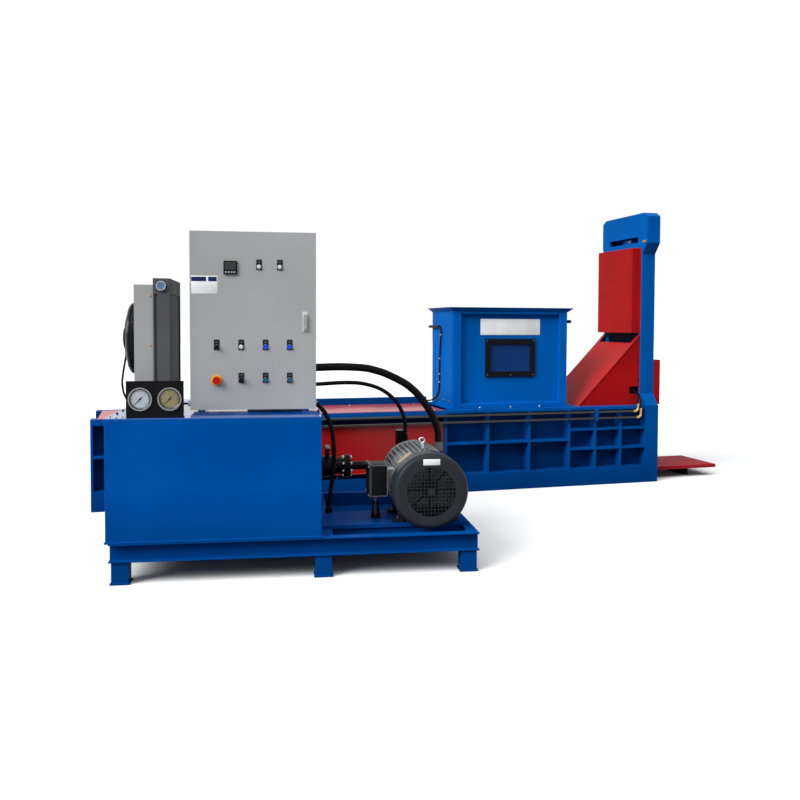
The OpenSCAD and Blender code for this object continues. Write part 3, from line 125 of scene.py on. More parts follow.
GRAINS: dict[Grain, GrainSpec] = {
    Grain.GLOSS: GrainSpec(260.0, 0.08, 0.0006, 1.7, 0.12, 0.06),
    Grain.SHEET: GrainSpec(1.6, 0.20, 0.010, 2.3, 0.12, 0.06),
    Grain.POWDER: GrainSpec(900.0, 0.18, 0.0006, 2.0, 0.07, 0.06),
    Grain.CAST: GrainSpec(420.0, 0.30, 0.0010, 9.0, 0.25, 0.10),
    Grain.BRUSHED: GrainSpec(60.0, 0.20, 0.0006, 12.0, 0.22, 0.12, (1.0, 1.0, 14.0)),
    Grain.RUBBER: GrainSpec(350.0, 0.25, 0.0008, 14.0, 0.30, 0.10),
    Grain.SMOOTH: GrainSpec(500.0, 0.04, 0.0004, 8.0, 0.08, 0.03),
}


@dataclass(frozen=True)
class Shade:
    """Painted shade: a deeper colour along one axis of the row, such as towards the floor."""

    axis: str
    start: float
    end: float
    factor: float
    mirrored: bool = False
    below: Optional[float] = None


# Painted shade: colour darkened towards the floor, where less light falls.
FLOOR_SHADE = Shade("Z", 0.0, 0.5, 0.60)
# Painted shade: the cooler core's right face, beside the cabinet, painted darker as the cabinet's shadow.
CORE_SHADE = Shade("X", -1.825, -1.840, 0.50)
# Painted shade: the tower plate painted almost black in the narrow slot between the gate guard and the slope
# guard, where shade falls.
SLOT_SHADE = Shade("Y", 0.255, 0.265, 0.03, mirrored=True, below=1.325)
# Painted shade: the side frames' recessed bays painted darker, as the shade that falls in them.
BAY_SHADE = Shade("Y", 0.288, 0.315, 0.56, mirrored=True)


@dataclass
class Graph:
    """A node tree, with short calls that add and link its nodes."""

    tree: bpy.types.NodeTree

    def feed(self, node: Node, inputs: dict[Key, Any]) -> None:
        """Set or link inputs of a node.

        Args:
            node: The node.
            inputs: A socket to link or a value to set, by the input's name or number.
        """
        for key, value in inputs.items():
            if isinstance(value, Socket):
                self.tree.links.new(value, node.inputs[key])
            else:
                node.inputs[key].default_value = value

    def node(self, kind: str, inputs: Optional[dict[Key, Any]] = None, **settings: str) -> Node:
        """Add a node.

        Args:
            kind: Its type, without the leading ShaderNode.
            inputs: Its inputs.
            settings: Its own properties, which are set first.

        Returns:
            The new node.
        """
        made = self.tree.nodes.new("ShaderNode" + kind)
        for name, value in settings.items():
            setattr(made, name, value)
        self.feed(made, inputs or {})
        return made

    def noise(self, place: Socket, scale: float, detail: float) -> Socket:
        """Add a noise texture.

        Args:
            place: Where the noise is read.
            scale: Its scale per metre.
            detail: Octaves of detail.

        Returns:
            The noise's value.
        """
        return self.node("TexNoise", {"Vector": place, "Scale": scale, "Detail": detail}).outputs["Fac"]

    def level(self, value: Socket, source: Pair, target: Pair) -> Socket:
        """Map a value from one range to another.

        Args:
            value: The value.
            source: Ends of its range.
            target: Ends of the new range.

        Returns:
            The mapped value.
        """
        ends = {"From Min": source[0], "From Max": source[1], "To Min": target[0], "To Max": target[1]}
        return self.node("MapRange", {"Value": value, **ends}).outputs["Result"]

    def calc(self, operation: str, *values: Any) -> Socket:
        """Add one step of arithmetic.

        Args:
            operation: Its name.
            values: Its sockets or numbers, in order.

        Returns:
            The outcome.
        """
        return self.node("Math", dict(enumerate(values)), operation=operation).outputs["Value"]

    def mix(self, factor: Any, one: Any, two: Any, blend: str = "MIX") -> Socket:
        """Mix two colours.

        Args:
            factor: Share of the second.
            one: First colour.
            two: Second colour.
            blend: How they mix.

        Returns:
            The mixed colour.
        """
        inputs = {"Factor": factor, "A": one, "B": two}
        return self.node("Mix", inputs, data_type="RGBA", blend_type=blend).outputs["Result"]

    def split(self, vector: Socket, axis: str) -> Socket:
        """Take one axis of a vector.

        Args:
            vector: The vector.
            axis: X, Y or Z.

        Returns:
            The number on that axis.
        """
        return self.node("SeparateXYZ", {"Vector": vector}).outputs[axis]


@dataclass(frozen=True)
class Finish:
    """One surface finish, made into a procedural material on first use."""

    name: str
    colour: Colour
    grain: Grain
    roughness: float = 0.4
    metallic: float = 0.0
    shine: float = 0.14
    transmission: float = 0.0
    dust_and_sheen: float = 0.0
    foot: Optional[tuple[float, Colour]] = None
    shades: tuple[Shade, ...] = ()

    def material(self) -> bpy.types.Material:
        """Make or find the material.

        Returns:
            The node material of this finish.
        """
        found = bpy.data.materials.get(self.name)
        if found is not None:
            return found
        made = bpy.data.materials.new(self.name)
        made.use_nodes = True
        made.diffuse_color = (*self.colour, 1.0)
        graph = Graph(made.node_tree)
        spec = GRAINS[self.grain]
        coords = graph.node("TexCoord")
        place = coords.outputs["Object"]
        stretch = graph.node("Mapping", {"Vector": place, "Scale": spec.stretch}).outputs["Vector"]
        tone = graph.noise(stretch, spec.tone_scale, TONE_DETAIL)
        fine = graph.noise(stretch, spec.bump_scale, BUMP_DETAIL)
        rough = (max(LEAST_ROUGHNESS, self.roughness - spec.rough_spread), self.roughness + spec.rough_spread)
        bump = {"Strength": spec.bump_strength, "Distance": spec.bump_depth, "Height": fine}
        colour = self._dusted_and_sheened(graph, coords, self._tone(graph, tone, spec))
        colour = self._footed(graph, place, colour)
        # Painted shade multiplied into the colour.
        for shade in self.shades:
            colour = self._shaded(graph, place, colour, shade)
        shader = made.node_tree.nodes["Principled BSDF"]
        graph.feed(shader, {
            "Base Color": colour, "Metallic": self.metallic, "Specular IOR Level": self.shine,
            "Transmission Weight": self.transmission, "Roughness": graph.level(tone, NOISE_BAND, rough),
            "Normal": graph.node("Bump", bump).outputs["Normal"],
        })
        if self.transmission > 0.0:
            graph.feed(shader, {"IOR": THIN_GLASS_IOR})
        return made

    def _tone(self, graph: Graph, noise: Socket, spec: GrainSpec) -> Socket:
        """Vary the colour a little over the surface.

        Args:
            graph: The material's nodes.
            noise: The broad noise.
            spec: The grain's numbers.

        Returns:
            The colour socket.
        """
        ramp = graph.node("ValToRGB", {"Fac": noise})
        for end, at, side in zip(ramp.color_ramp.elements, NOISE_BAND, (-1.0, 1.0)):
            end.position = at
            end.color = (*[min(1.0, c * (1.0 + side * spec.tone_spread)) for c in self.colour], 1.0)
        return ramp.outputs["Color"]

    def _dusted_and_sheened(self, graph: Graph, coords: Node, colour: Socket) -> Socket:
        """Lay a thin pale film on faces that look up: dust, and a painted sheen of light on those tops.

        Args:
            graph: The material's nodes.
            coords: The texture coordinates.
            colour: The colour so far.

        Returns:
            The colour socket with dust and painted sheen.
        """
        if self.dust_and_sheen <= 0.0:
            return colour
        facing = graph.level(graph.split(coords.outputs["Normal"], "Z"), DUST_AND_SHEEN_FACING, (0.0, self.dust_and_sheen))
        patch = graph.noise(coords.outputs["Object"], DUST_AND_SHEEN_SCALE, DUST_AND_SHEEN_DETAIL)
        return graph.mix(graph.calc("MULTIPLY", facing, patch), colour, DUST_AND_SHEEN_COLOUR)

    def _footed(self, graph: Graph, place: Socket, colour: Socket) -> Socket:
        """Give the piece another colour below a height.

        Args:
            graph: The material's nodes.
            place: The place in the row.
            colour: The colour so far.

        Returns:
            The colour socket with the foot's colour.
        """
        if self.foot is None:
            return colour
        height, lower = self.foot
        return graph.mix(graph.calc("LESS_THAN", graph.split(place, "Z"), height), colour, (*lower, 1.0))

    @staticmethod
    def _shaded(graph: Graph, place: Socket, colour: Socket, shade: Shade) -> Socket:
        """Paint shade into the colour along an axis of the row.

        Args:
            graph: The material's nodes.
            place: The place in the row.
            colour: The colour so far.
            shade: Where the painted shade falls and how dark it is.

        Returns:
            The colour socket with the painted shade.
        """
        value = graph.split(place, shade.axis)
        if shade.mirrored:
            value = graph.calc("ABSOLUTE", value)
        depth = graph.level(value, (shade.start, shade.end), (shade.factor, 1.0))
        if shade.below is not None:
            above = graph.calc("GREATER_THAN", graph.split(place, "Z"), shade.below)
            depth = graph.calc("MAXIMUM", depth, above)
        return graph.mix(1.0, colour, depth, "MULTIPLY")


class Paint:
    """The baler's finishes."""

    # Press blue, with painted shade towards the floor.
    BLUE = Finish(
        "blue_gloss_paint", (0.0004, 0.076, 0.345), Grain.GLOSS, 0.34, shine=0.008, shades=(FLOOR_SHADE,)
    )
    # Press blue for the side frames, with painted shade towards the floor and in the recessed bays.
    BLUE_RIBS = Finish(
        "blue_ribbed_paint", (0.0004, 0.080, 0.345), Grain.GLOSS, 0.34, shine=0.008,
        shades=(FLOOR_SHADE, BAY_SHADE),
    )
    # A lighter, more cyan copy of the press blue for the tower: painted light.
    BLUE_TOWER_PAINTED_LIGHT = Finish("blue_tower_paint_painted_light", (0.0004, 0.090, 0.355), Grain.GLOSS, 0.34, shine=0.008)
    # A still lighter copy of the press blue for the tower's front plate, as painted light, with painted shade
    # in the slot under the gate guard.
    BLUE_PLATE_PAINTED_LIGHT = Finish(
        "blue_plate_paint_painted_light", (0.0004, 0.098, 0.385), Grain.GLOSS, 0.34, shine=0.008,
        shades=(SLOT_SHADE,),
    )
    LID = Finish("blue_lid_gloss", (0.0004, 0.072, 0.340), Grain.SMOOTH, 0.10, shine=0.5)
    # Thin-sheet grain on the hopper, in a lighter, more cyan copy of the press blue: painted light.
    BLUE_SHEET_PAINTED_LIGHT = Finish("blue_sheet_paint_painted_light", (0.0004, 0.110, 0.440), Grain.SHEET, 0.36, shine=0.004)
    # Guard red; the pale film on its upward faces is dust and painted sheen.
    RED = Finish("red_guard_paint", (0.36, 0.006, 0.007), Grain.SHEET, 0.30, shine=0.03, dust_and_sheen=0.08)
    # Cover red; the pale film on its tops is dust and painted sheen of the glossy reflection.
    RED_COVER = Finish("red_cover_paint", (0.36, 0.006, 0.007), Grain.SHEET, 0.26, shine=0.20, dust_and_sheen=0.20)
    RED_TABLE = Finish(
        "red_table_paint", (0.32, 0.018, 0.024), Grain.SHEET, 0.36, shine=0.003,
        foot=(0.077, (0.012, 0.012, 0.013)),
    )
    GREY = Finish("cabinet_grey_powder", (0.365, 0.370, 0.368), Grain.POWDER, 0.46)
    SHROUD = Finish("shroud_grey_powder", (0.33, 0.335, 0.34), Grain.POWDER, 0.42)
    # Cooler colour set for the lit front face, with painted shade on the right face beside the cabinet.
    COOLER = Finish(
        "cooler_dark_paint", (0.086, 0.089, 0.096), Grain.GLOSS, 0.42, shine=0.006, shades=(CORE_SHADE,)
    )
    BLACK = Finish("black_satin_paint", (0.005, 0.005, 0.006), Grain.GLOSS, 0.34, shine=0.06)
    PIPE = Finish("black_pipe_gloss", (0.006, 0.006, 0.007), Grain.SMOOTH, 0.16, shine=0.5)
    PLASTIC = Finish("black_plastic", (0.006, 0.006, 0.007), Grain.POWDER, 0.45, shine=0.05)
    MOTOR = Finish(
        "motor_dark_paint", (0.190, 0.192, 0.202), Grain.CAST, 0.36, shine=0.25,
        foot=(0.345, (0.006, 0.006, 0.007)),
    )
    COVER = Finish("fan_cover_paint", (0.017, 0.021, 0.026), Grain.GLOSS, 0.33, shine=0.10)
    STEEL = Finish("bright_steel", (0.42, 0.42, 0.43), Grain.BRUSHED, 0.30, metallic=1.0, shine=0.5)
    WORN = Finish("worn_ram_steel", (0.34, 0.33, 0.32), Grain.BRUSHED, 0.42, metallic=1.0, shine=0.5)
    FERRULE = Finish("ferrule_grey", (0.12, 0.12, 0.125), Grain.SMOOTH, 0.35, shine=0.3)
    ZINC = Finish("zinc_plate", (0.50, 0.50, 0.49), Grain.SMOOTH, 0.28, metallic=1.0, shine=0.5)
    RING = Finish("control_ring_metal", (0.20, 0.20, 0.21), Grain.SMOOTH, 0.24, metallic=1.0, shine=0.5)
    CHROME = Finish("gauge_chrome", (0.42, 0.42, 0.43), Grain.SMOOTH, 0.14, metallic=1.0, shine=0.5)
    BRASS = Finish("yellow_brass", (0.50, 0.34, 0.15), Grain.SMOOTH, 0.28, metallic=1.0, shine=0.5)
    RUBBER = Finish("hose_rubber", (0.006, 0.006, 0.007), Grain.RUBBER, 0.50, shine=0.06)
    # The pane is opaque, painted the dark blue of the shaded hopper inside seen through the glass: painted
    # shade.
    WINDOW_GLASS_PAINTED_SHADE = Finish("window_glass_painted_shade", (0.004, 0.036, 0.160), Grain.SMOOTH, 0.10, shine=0.04)
    CLEAR = Finish("gauge_glass", (0.97, 0.98, 0.98), Grain.SMOOTH, 0.04, shine=0.05, transmission=1.0)
    WHITE = Finish("white_plate", (0.82, 0.83, 0.84), Grain.SMOOTH, 0.35)
    # A brighter copy of the white plate finish: painted light against the shade on the hopper's front.
    PLATE = Finish("hopper_plate_white_painted_light", (0.92, 0.925, 0.94), Grain.SMOOTH, 0.35)
    LENS = Finish("white_lens", (0.60, 0.60, 0.60), Grain.SMOOTH, 0.18, shine=0.3)
    DIAL = Finish("grey_dial", (0.335, 0.366, 0.412), Grain.SMOOTH, 0.40, shine=0.05)
    CREAM = Finish("cream_dial", (0.235, 0.193, 0.098), Grain.SMOOTH, 0.40, shine=0.05)
    PORT = Finish("port_cap_blue", (0.085, 0.170, 0.300), Grain.SMOOTH, 0.12, shine=0.5)
    NAVY = Finish("navy_band", (0.006, 0.014, 0.080), Grain.SMOOTH, 0.35)
    TIE = Finish("pale_cable_tie", (0.52, 0.47, 0.32), Grain.SMOOTH, 0.45)
    YELLOW = Finish("stop_collar_yellow", (0.72, 0.30, 0.004), Grain.SMOOTH, 0.30)
    STOP = Finish("stop_button_red", (0.46, 0.008, 0.004), Grain.SMOOTH, 0.28, shine=0.1)
    BLUE_CAP = Finish("blue_push_cap", (0.003, 0.075, 0.80), Grain.SMOOTH, 0.22, shine=0.15)
    TEAL_CAP = Finish("teal_push_cap", (0.003, 0.105, 0.200), Grain.SMOOTH, 0.22, shine=0.15)
    # Dark screens and legend inserts, and painted shade in the gauges' rims.
    SCREEN_AND_SHADE = Finish("dark_screen_and_painted_shade", (0.016, 0.018, 0.022), Grain.SMOOTH, 0.15, shine=0.4)
    SILVER = Finish("lock_silver", (0.52, 0.52, 0.54), Grain.SMOOTH, 0.35)
    GEAR = Finish("switchgear_beige", (0.52, 0.52, 0.49), Grain.SMOOTH, 0.40)


@dataclass
class Piece:
    """A mesh drawn in millimetres, and the finished piece that it becomes on a body."""

    name: str
    finish: Finish
    placing: Placing = Placing.UNIT
    body: str = "frame"
    bm: bmesh.types.BMesh = field(default_factory=bmesh.new)

    def block(self, low: Point, high: Point, edge: float = 1.0) -> Self:
        """Add a block with rounded edges.

        Args:
            low: Lowest corner.
            high: Highest corner.
            edge: Radius of the edges.

        Returns:
            The piece.
        """
        a, b = Vector(low), Vector(high)
        size = Matrix.Diagonal((*(b - a), 1.0))
        made = bmesh.ops.create_cube(self.bm, size=1.0, matrix=Matrix.Translation((a + b) / 2) @ size)
        edges = list({e for v in made["verts"] for e in v.link_edges})
        bmesh.ops.bevel(
            self.bm, geom=edges, offset=edge, segments=2, profile=0.5, affect="EDGES", clamp_overlap=True
        )
        return self

    def lathe(self, profile: Sequence[Pair], centre: Point, way: Way, steps: int = 40) -> Self:
        """Add a turned shape.

        Args:
            profile: Radius and height pairs; a radius of zero closes the shape on its axis.
            centre: Foot of the axis.
            way: Direction of the axis.
            steps: Number of steps round.

        Returns:
            The piece.
        """
        turn = Way.UP.vector.rotation_difference(way.vector).to_matrix()
        rings: list[list[bmesh.types.BMVert]] = []
        for radius, height in profile:
            ring = []
            for k in range(1 if radius <= 0.0 else steps):
                angle = 2.0 * math.pi * k / steps
                at = Vector((radius * math.cos(angle), radius * math.sin(angle), height))
                ring.append(self.bm.verts.new(Vector(centre) + turn @ at))
            rings.append(ring)
        for one, two in zip(rings, rings[1:]):
            for k in range(steps):
                n = (k + 1) % steps
                if len(one) == 1 and len(two) > 1:
                    self.bm.faces.new((one[0], two[n], two[k]))
                elif len(two) == 1 and len(one) > 1:
                    self.bm.faces.new((one[k], one[n], two[0]))
                elif len(one) > 1:
                    self.bm.faces.new((one[k], one[n], two[n], two[k]))
        return self

    def hoop(self, big: float, small: float, centre: Point, way: Way, steps: int, sides: int) -> Self:
        """Add a ring of round wire.

        Args:
            big: Radius of the ring.
            small: Radius of the wire.
            centre: Middle of the ring.
            way: Axis of the ring.
            steps: Steps round the ring.
            sides: Sides of the wire.

        Returns:
            The piece.
        """
        turns = [2 * math.pi * k / sides for k in range(sides + 1)]
        profile = [(big + small * math.cos(turn), small * math.sin(turn)) for turn in turns]
        return self.lathe(profile, centre, way, steps)

    def ring(
        self, radii: Pair, heights: Pair, centre: Point, way: Way, edge: float = 0.8, steps: int = 40
    ) -> Self:
        """Add a ring with softened edges.

        Args:
            radii: Inner and outer radius.
            heights: Heights of the back and front faces.
            centre: Foot of the axis.
            way: Direction of the axis.
            edge: Softening of the front edges.
            steps: Number of steps round.

        Returns:
            The piece.
        """
        (inner, outer), (low, high) = radii, heights
        profile = [
            (inner, low), (outer, low), (outer, high - edge), (outer - edge, high),
            (inner + edge, high), (inner, high - edge), (inner, low),
        ]
        return self.lathe(profile, centre, way, steps)

    def disc(
        self, radius: float, height: float, centre: Point, way: Way, edge: float = 0.8, steps: int = 40
    ) -> Self:
        """Add a round slab with a softened front edge.

        Args:
            radius: Radius.
            height: Height of the front face.
            centre: Foot of the axis.
            way: Direction of the axis.
            edge: Softening of the front edge.
            steps: Number of steps round.

        Returns:
            The piece.
        """
        profile = [(0.0, 0.0), (radius, 0.0), (radius, height - edge), (radius - edge, height), (0.0, height)]
        return self.lathe(profile, centre, way, steps)

    def holed(self, low: Pair, high: Pair, hole: Point, depths: Pair, steps: int = 48) -> Self:
        """Add an upright plate with a round hole.

        Args:
            low: Lower left corner along and up.
            high: Upper right corner along and up.
            hole: Centre along and up, and radius of the hole.
            depths: Places of the back and front faces across.
            steps: Number of steps round.

        Returns:
            The piece.
        """
        along, up, radius = hole
        back, front = depths
        loops: list[list[bmesh.types.BMVert]] = [[], [], [], []]
        for k in range(steps):
            angle = 2.0 * math.pi * (k + 0.5) / steps
            c, n = math.cos(angle), math.sin(angle)
            reach = min(
                (high[0] - along if c > 0 else low[0] - along) / c,
                (high[1] - up if n > 0 else low[1] - up) / n,
            )
            corners = ((radius, front), (reach, front), (reach, back), (radius, back))
            for loop, (far, across) in zip(loops, corners):
                loop.append(self.bm.verts.new((along + c * far, across, up + n * far)))
        for one, two in zip(loops, loops[1:] + loops[:1]):
            for k in range(steps):
                j = (k + 1) % steps
                self.bm.faces.new((one[k], one[j], two[j], two[k]))
        return self

    def bolts(self, seats: Iterable[Point], way: Way, across: float) -> Self:
        """Add hexagon bolt heads on washers.

        Args:
            seats: Middles of the seats.
            way: Direction the heads point in.
            across: Radius of the heads' corners.

        Returns:
            The piece.
        """
        thick, tall = across * 0.22, across * 1.25
        head = [(0.0, thick), (across, thick), (across, tall * 0.88), (across * 0.86, tall), (0.0, tall)]
        for at in seats:
            self.disc(across * 1.35, thick, at, way, thick * 0.3, 20)
            self.lathe(head, at, way, 6)
        return self

    def make(self, slot: Optional[str] = None, stands_for: Sequence[str] = ()) -> None:
        """Finish the mesh as a piece of the object.

        Args:
            slot: Not used.
            stands_for: Solids that it replaces.
        """
        bmesh.ops.recalc_face_normals(self.bm, faces=self.bm.faces)
        self.bm.transform(self.placing.matrix)
        mesh = bpy.data.meshes.new(self.name)
        self.bm.to_mesh(mesh)
        self.bm.free()
        mesh.shade_smooth()
        mesh.set_sharp_from_angle(angle=SHARP_ANGLE)
        mesh.materials.append(self.finish.material())
        made = bpy.data.objects.new(self.name, mesh)
        bpy.context.scene.collection.objects.link(made)
        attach(made, self.body)
        if stands_for:
            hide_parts(*stands_for)
        LOG.info("piece %s on %s", self.name, self.body)


@dataclass
class Studio:
    """Camera, light and floor."""

    place: Point = (-1.9205, -7.0583, 1.381)
    yaw: float = 16.644
    pitch: float = 2.208
    roll: float = 0.218
    lens: float = 38.71
    shift: tuple[float, float] = (-0.0132, -0.0520)
    sky: float = 0.38
    key: float = 3.2
    overhead: float = 1.6
    bounce: float = 0.15

    def build(self) -> None:
        """Build the camera, the lights, the world and the floor."""
        self._camera()
        self._world()
        self._lights()
        self._floor()
        bpy.context.scene.view_settings.view_transform = "Standard"

    def _camera(self) -> None:
        """Set the camera at the photograph's angle."""
        data = bpy.data.cameras.new("camera")
        data.sensor_width = 36.0
        data.lens = self.lens
        data.shift_x, data.shift_y = self.shift
        data.clip_end = 200.0
        camera = bpy.data.objects.new("camera", data)
        bpy.context.scene.collection.objects.link(camera)
        turn = (
            Matrix.Rotation(math.radians(-self.yaw), 4, "Z")
            @ Matrix.Rotation(math.radians(90.0 - self.pitch), 4, "X")
            @ Matrix.Rotation(math.radians(self.roll), 4, "Z")
        )
        camera.matrix_world = Matrix.Translation(self.place) @ turn
        bpy.context.scene.camera = camera

    @staticmethod
    def _seen(graph: Graph, path: Node) -> Socket:
        """Mark the rays that come from the eye or off a glossy surface.

        Args:
            graph: The nodes to add to.
            path: The light path.

        Returns:
            One for those rays and zero for others.
        """
        return graph.calc("MAXIMUM", path.outputs["Is Camera Ray"], path.outputs["Is Glossy Ray"])

    def _world(self) -> None:
        """Make a world that is white to the eye and soft as light."""
        world = bpy.data.worlds.new("studio")
        bpy.context.scene.world = world
        world.use_nodes = True
        world.node_tree.nodes.clear()
        graph = Graph(world.node_tree)
        light = graph.node("Background", {"Color": (0.90, 0.95, 1.0, 1.0), "Strength": self.sky})
        white = graph.node("Background", {"Color": (1.0, 1.0, 1.0, 1.0), "Strength": 1.0})
        path = graph.node("LightPath")
        shown = graph.calc("MAXIMUM", self._seen(graph, path), path.outputs["Is Transmission Ray"])
        inputs = {"Fac": shown, 1: light.outputs["Background"], 2: white.outputs["Background"]}
        graph.node("OutputWorld", {"Surface": graph.node("MixShader", inputs).outputs["Shader"]})

    def _lights(self) -> None:
        """Hang a soft key light on the left and a softer one overhead."""
        self._lamp("key", self.key, 35.0, Vector((0.85, 0.40, -0.62)))
        self._lamp("overhead", self.overhead, 60.0, Vector((0.15, 0.40, -1.0)))

    @staticmethod
    def _lamp(name: str, energy: float, spread: float, way: Vector) -> None:
        """Hang one soft light.

        Args:
            name: The light's name.
            energy: Its strength.
            spread: Its apparent width in degrees.
            way: The direction it shines in.
        """
        data = bpy.data.lights.new(name, "SUN")
        data.energy = energy
        data.angle = math.radians(spread)
        lamp = bpy.data.objects.new(name, data)
        lamp.rotation_euler = way.to_track_quat("-Z", "Y").to_euler()
        bpy.context.scene.collection.objects.link(lamp)

    def _floor(self) -> None:
        """Lay a plain pale floor that throws little light back on the object."""
        bm = bmesh.new()
        bmesh.ops.create_grid(bm, x_segments=2, y_segments=2, size=60.0)
        mesh = bpy.data.meshes.new("floor")
        bm.to_mesh(mesh)
        bm.free()
        mesh.materials.append(self._floor_material())
        floor = bpy.data.objects.new("floor", mesh)
        floor.location = (0.0, 0.0, -0.0005)
        bpy.context.scene.collection.objects.link(floor)

    def _floor_material(self) -> bpy.types.Material:
        """Make the floor's material.

        Returns:
            A matt material, white to the eye and in mirrors, and grey to other light.
        """
        made = bpy.data.materials.new("studio_floor")
        made.use_nodes = True
        graph = Graph(made.node_tree)
        shader = made.node_tree.nodes["Principled BSDF"]
        seen = self._seen(graph, graph.node("LightPath"))
        colour = graph.mix(seen, (*([self.bounce] * 3), 1.0), (0.96, 0.96, 0.96, 1.0))
        graph.feed(shader, {"Base Color": colour, "Roughness": 1.0, "Specular IOR Level": 0.0})
        return made


class Stiffness(Enum):
    """How stiff a hose or cable is."""

    MEDIUM = "medium"
    STIFF = "stiff"


@dataclass(frozen=True)
class Hose:
    """A hose or cable along its route, which stands for its solid."""

    node: str
    placing: Placing
    diameter: float
    stiffness: Stiffness
    route: tuple[Point, ...]
    lay: str = "hanging"

    def line(self, steps: int = 10) -> list[Vector]:
        """Draw a smooth line through the route.

        Args:
            steps: Points between two route points.

        Returns:
            Points in the row's metres.
        """
        knots = [self.placing.matrix @ Vector(p) for p in self.route]
        ends = [2 * knots[0] - knots[1], *knots, 2 * knots[-1] - knots[-2]]
        line: list[Vector] = []
        for i in range(1, len(ends) - 2):
            a, b, c, d = ends[i - 1], ends[i], ends[i + 1], ends[i + 2]
            for k in range(steps):
                t = k / steps
                line.append(
                    0.5 * (2 * b + (c - a) * t + (2 * a - 5 * b + 4 * c - d) * t**2
                           + (3 * b - a - 3 * c + d) * t**3)
                )
        line.append(knots[-1])
        return line

    def build(self) -> None:
        line = self.line()
        data = bpy.data.curves.new(self.node + "_line", "CURVE")
        data.dimensions = "3D"
        data.bevel_depth = self.diameter * MM / 2
        data.bevel_resolution = 5
        data.use_fill_caps = True
        spline = data.splines.new("POLY")
        spline.points.add(len(line) - 1)
        for point, at in zip(spline.points, line):
            point.co = (*at, 1.0)
        spline.use_smooth = True
        data.materials.append(Paint.RUBBER.material())
        made = bpy.data.objects.new(self.node + "_run", data)
        bpy.context.scene.collection.objects.link(made)
        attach(made, "frame")
        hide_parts(self.node)


HOSES: tuple[Hose, ...] = (
    Hose("hose_thick", Placing.UNIT, 50.0, Stiffness.STIFF, (
        (1060, 800, 1110), (1090, 800, 1110), (1140, 804, 1112), (1277, 827, 1114), (1432, 855, 1105),
        (1520, 869, 1085), (1601, 883, 1055), (1731, 910, 984), (1829, 938, 888), (1904, 968, 774),
        (1940, 994, 690), (1948, 1002, 650), (1949, 1003, 630), (1949, 1003, 600))),
    Hose("hose_thin", Placing.UNIT, 26.0, Stiffness.STIFF, (
        (1060, 800, 1004), (1090, 800, 1004), (1140, 803, 1006), (1306, 821, 1013), (1431, 843, 1003),
        (1549, 864, 963), (1644, 886, 886), (1698, 912, 791), (1714, 935, 725), (1716, 940, 690),
        (1716, 940, 655))),
    Hose("motor_cable", Placing.UNIT, 26.0, Stiffness.MEDIUM, (
        (1117.556, 430, 909.444), (1126.89, 430, 900.11), (1146, 433, 880), (1167, 440, 850),
        (1188, 452, 808), (1205, 470, 745), (1215, 492, 670), (1219, 512, 590), (1216, 527, 500),
        (1207, 538, 415), (1198, 543, 350), (1192, 545, 310), (1190, 545, 285), (1190, 545, 262))),
    Hose("fan_cable", Placing.UNIT, 12.0, Stiffness.MEDIUM, (
        (22, 475, 1240), (22, 475, 1220), (21, 462, 1188), (19, 435, 1150), (18, 395, 1105), (24, 330, 1050),
        (50, 245, 992), (96, 172, 953), (166, 140, 937), (240, 172, 935), (300, 235, 935), (338, 284, 935),
        (366, 300, 935), (386, 300, 935))),
    Hose("sensor_cable", Placing.PRESS, 14.0, Stiffness.MEDIUM, (
        (2827, 440, 1370), (2827, 424, 1370), (2827, 402, 1365), (2827, 385, 1351), (2827, 377, 1326),
        (2827, 380, 1296), (2827, 393, 1240), (2827, 407, 1150), (2827, 413, 1050), (2827, 413, 960),
        (2827, 414, 880), (2826, 430, 812), (2822, 472, 762), (2812, 530, 731), (2798, 590, 716),
        (2782, 636, 712), (2778, 650, 712), (2778, 662, 712))),
    Hose("gate_hose_upper", Placing.PRESS, 14.0, Stiffness.STIFF, (
        (4521, -14, 700), (4521, -14, 735), (4520, -4, 765), (4522, 24, 795), (4530, 64, 811),
        (4536, 110, 815), (4537, 150, 815), (4537, 180, 815))),
    Hose("gate_hose_lower", Placing.PRESS, 14.0, Stiffness.STIFF, (
        (4550, -14, 661), (4550, -14, 700), (4551, -6, 735), (4554, 16, 765), (4559, 52, 787),
        (4563, 100, 797), (4564, 150, 800), (4564, 180, 800))),
)


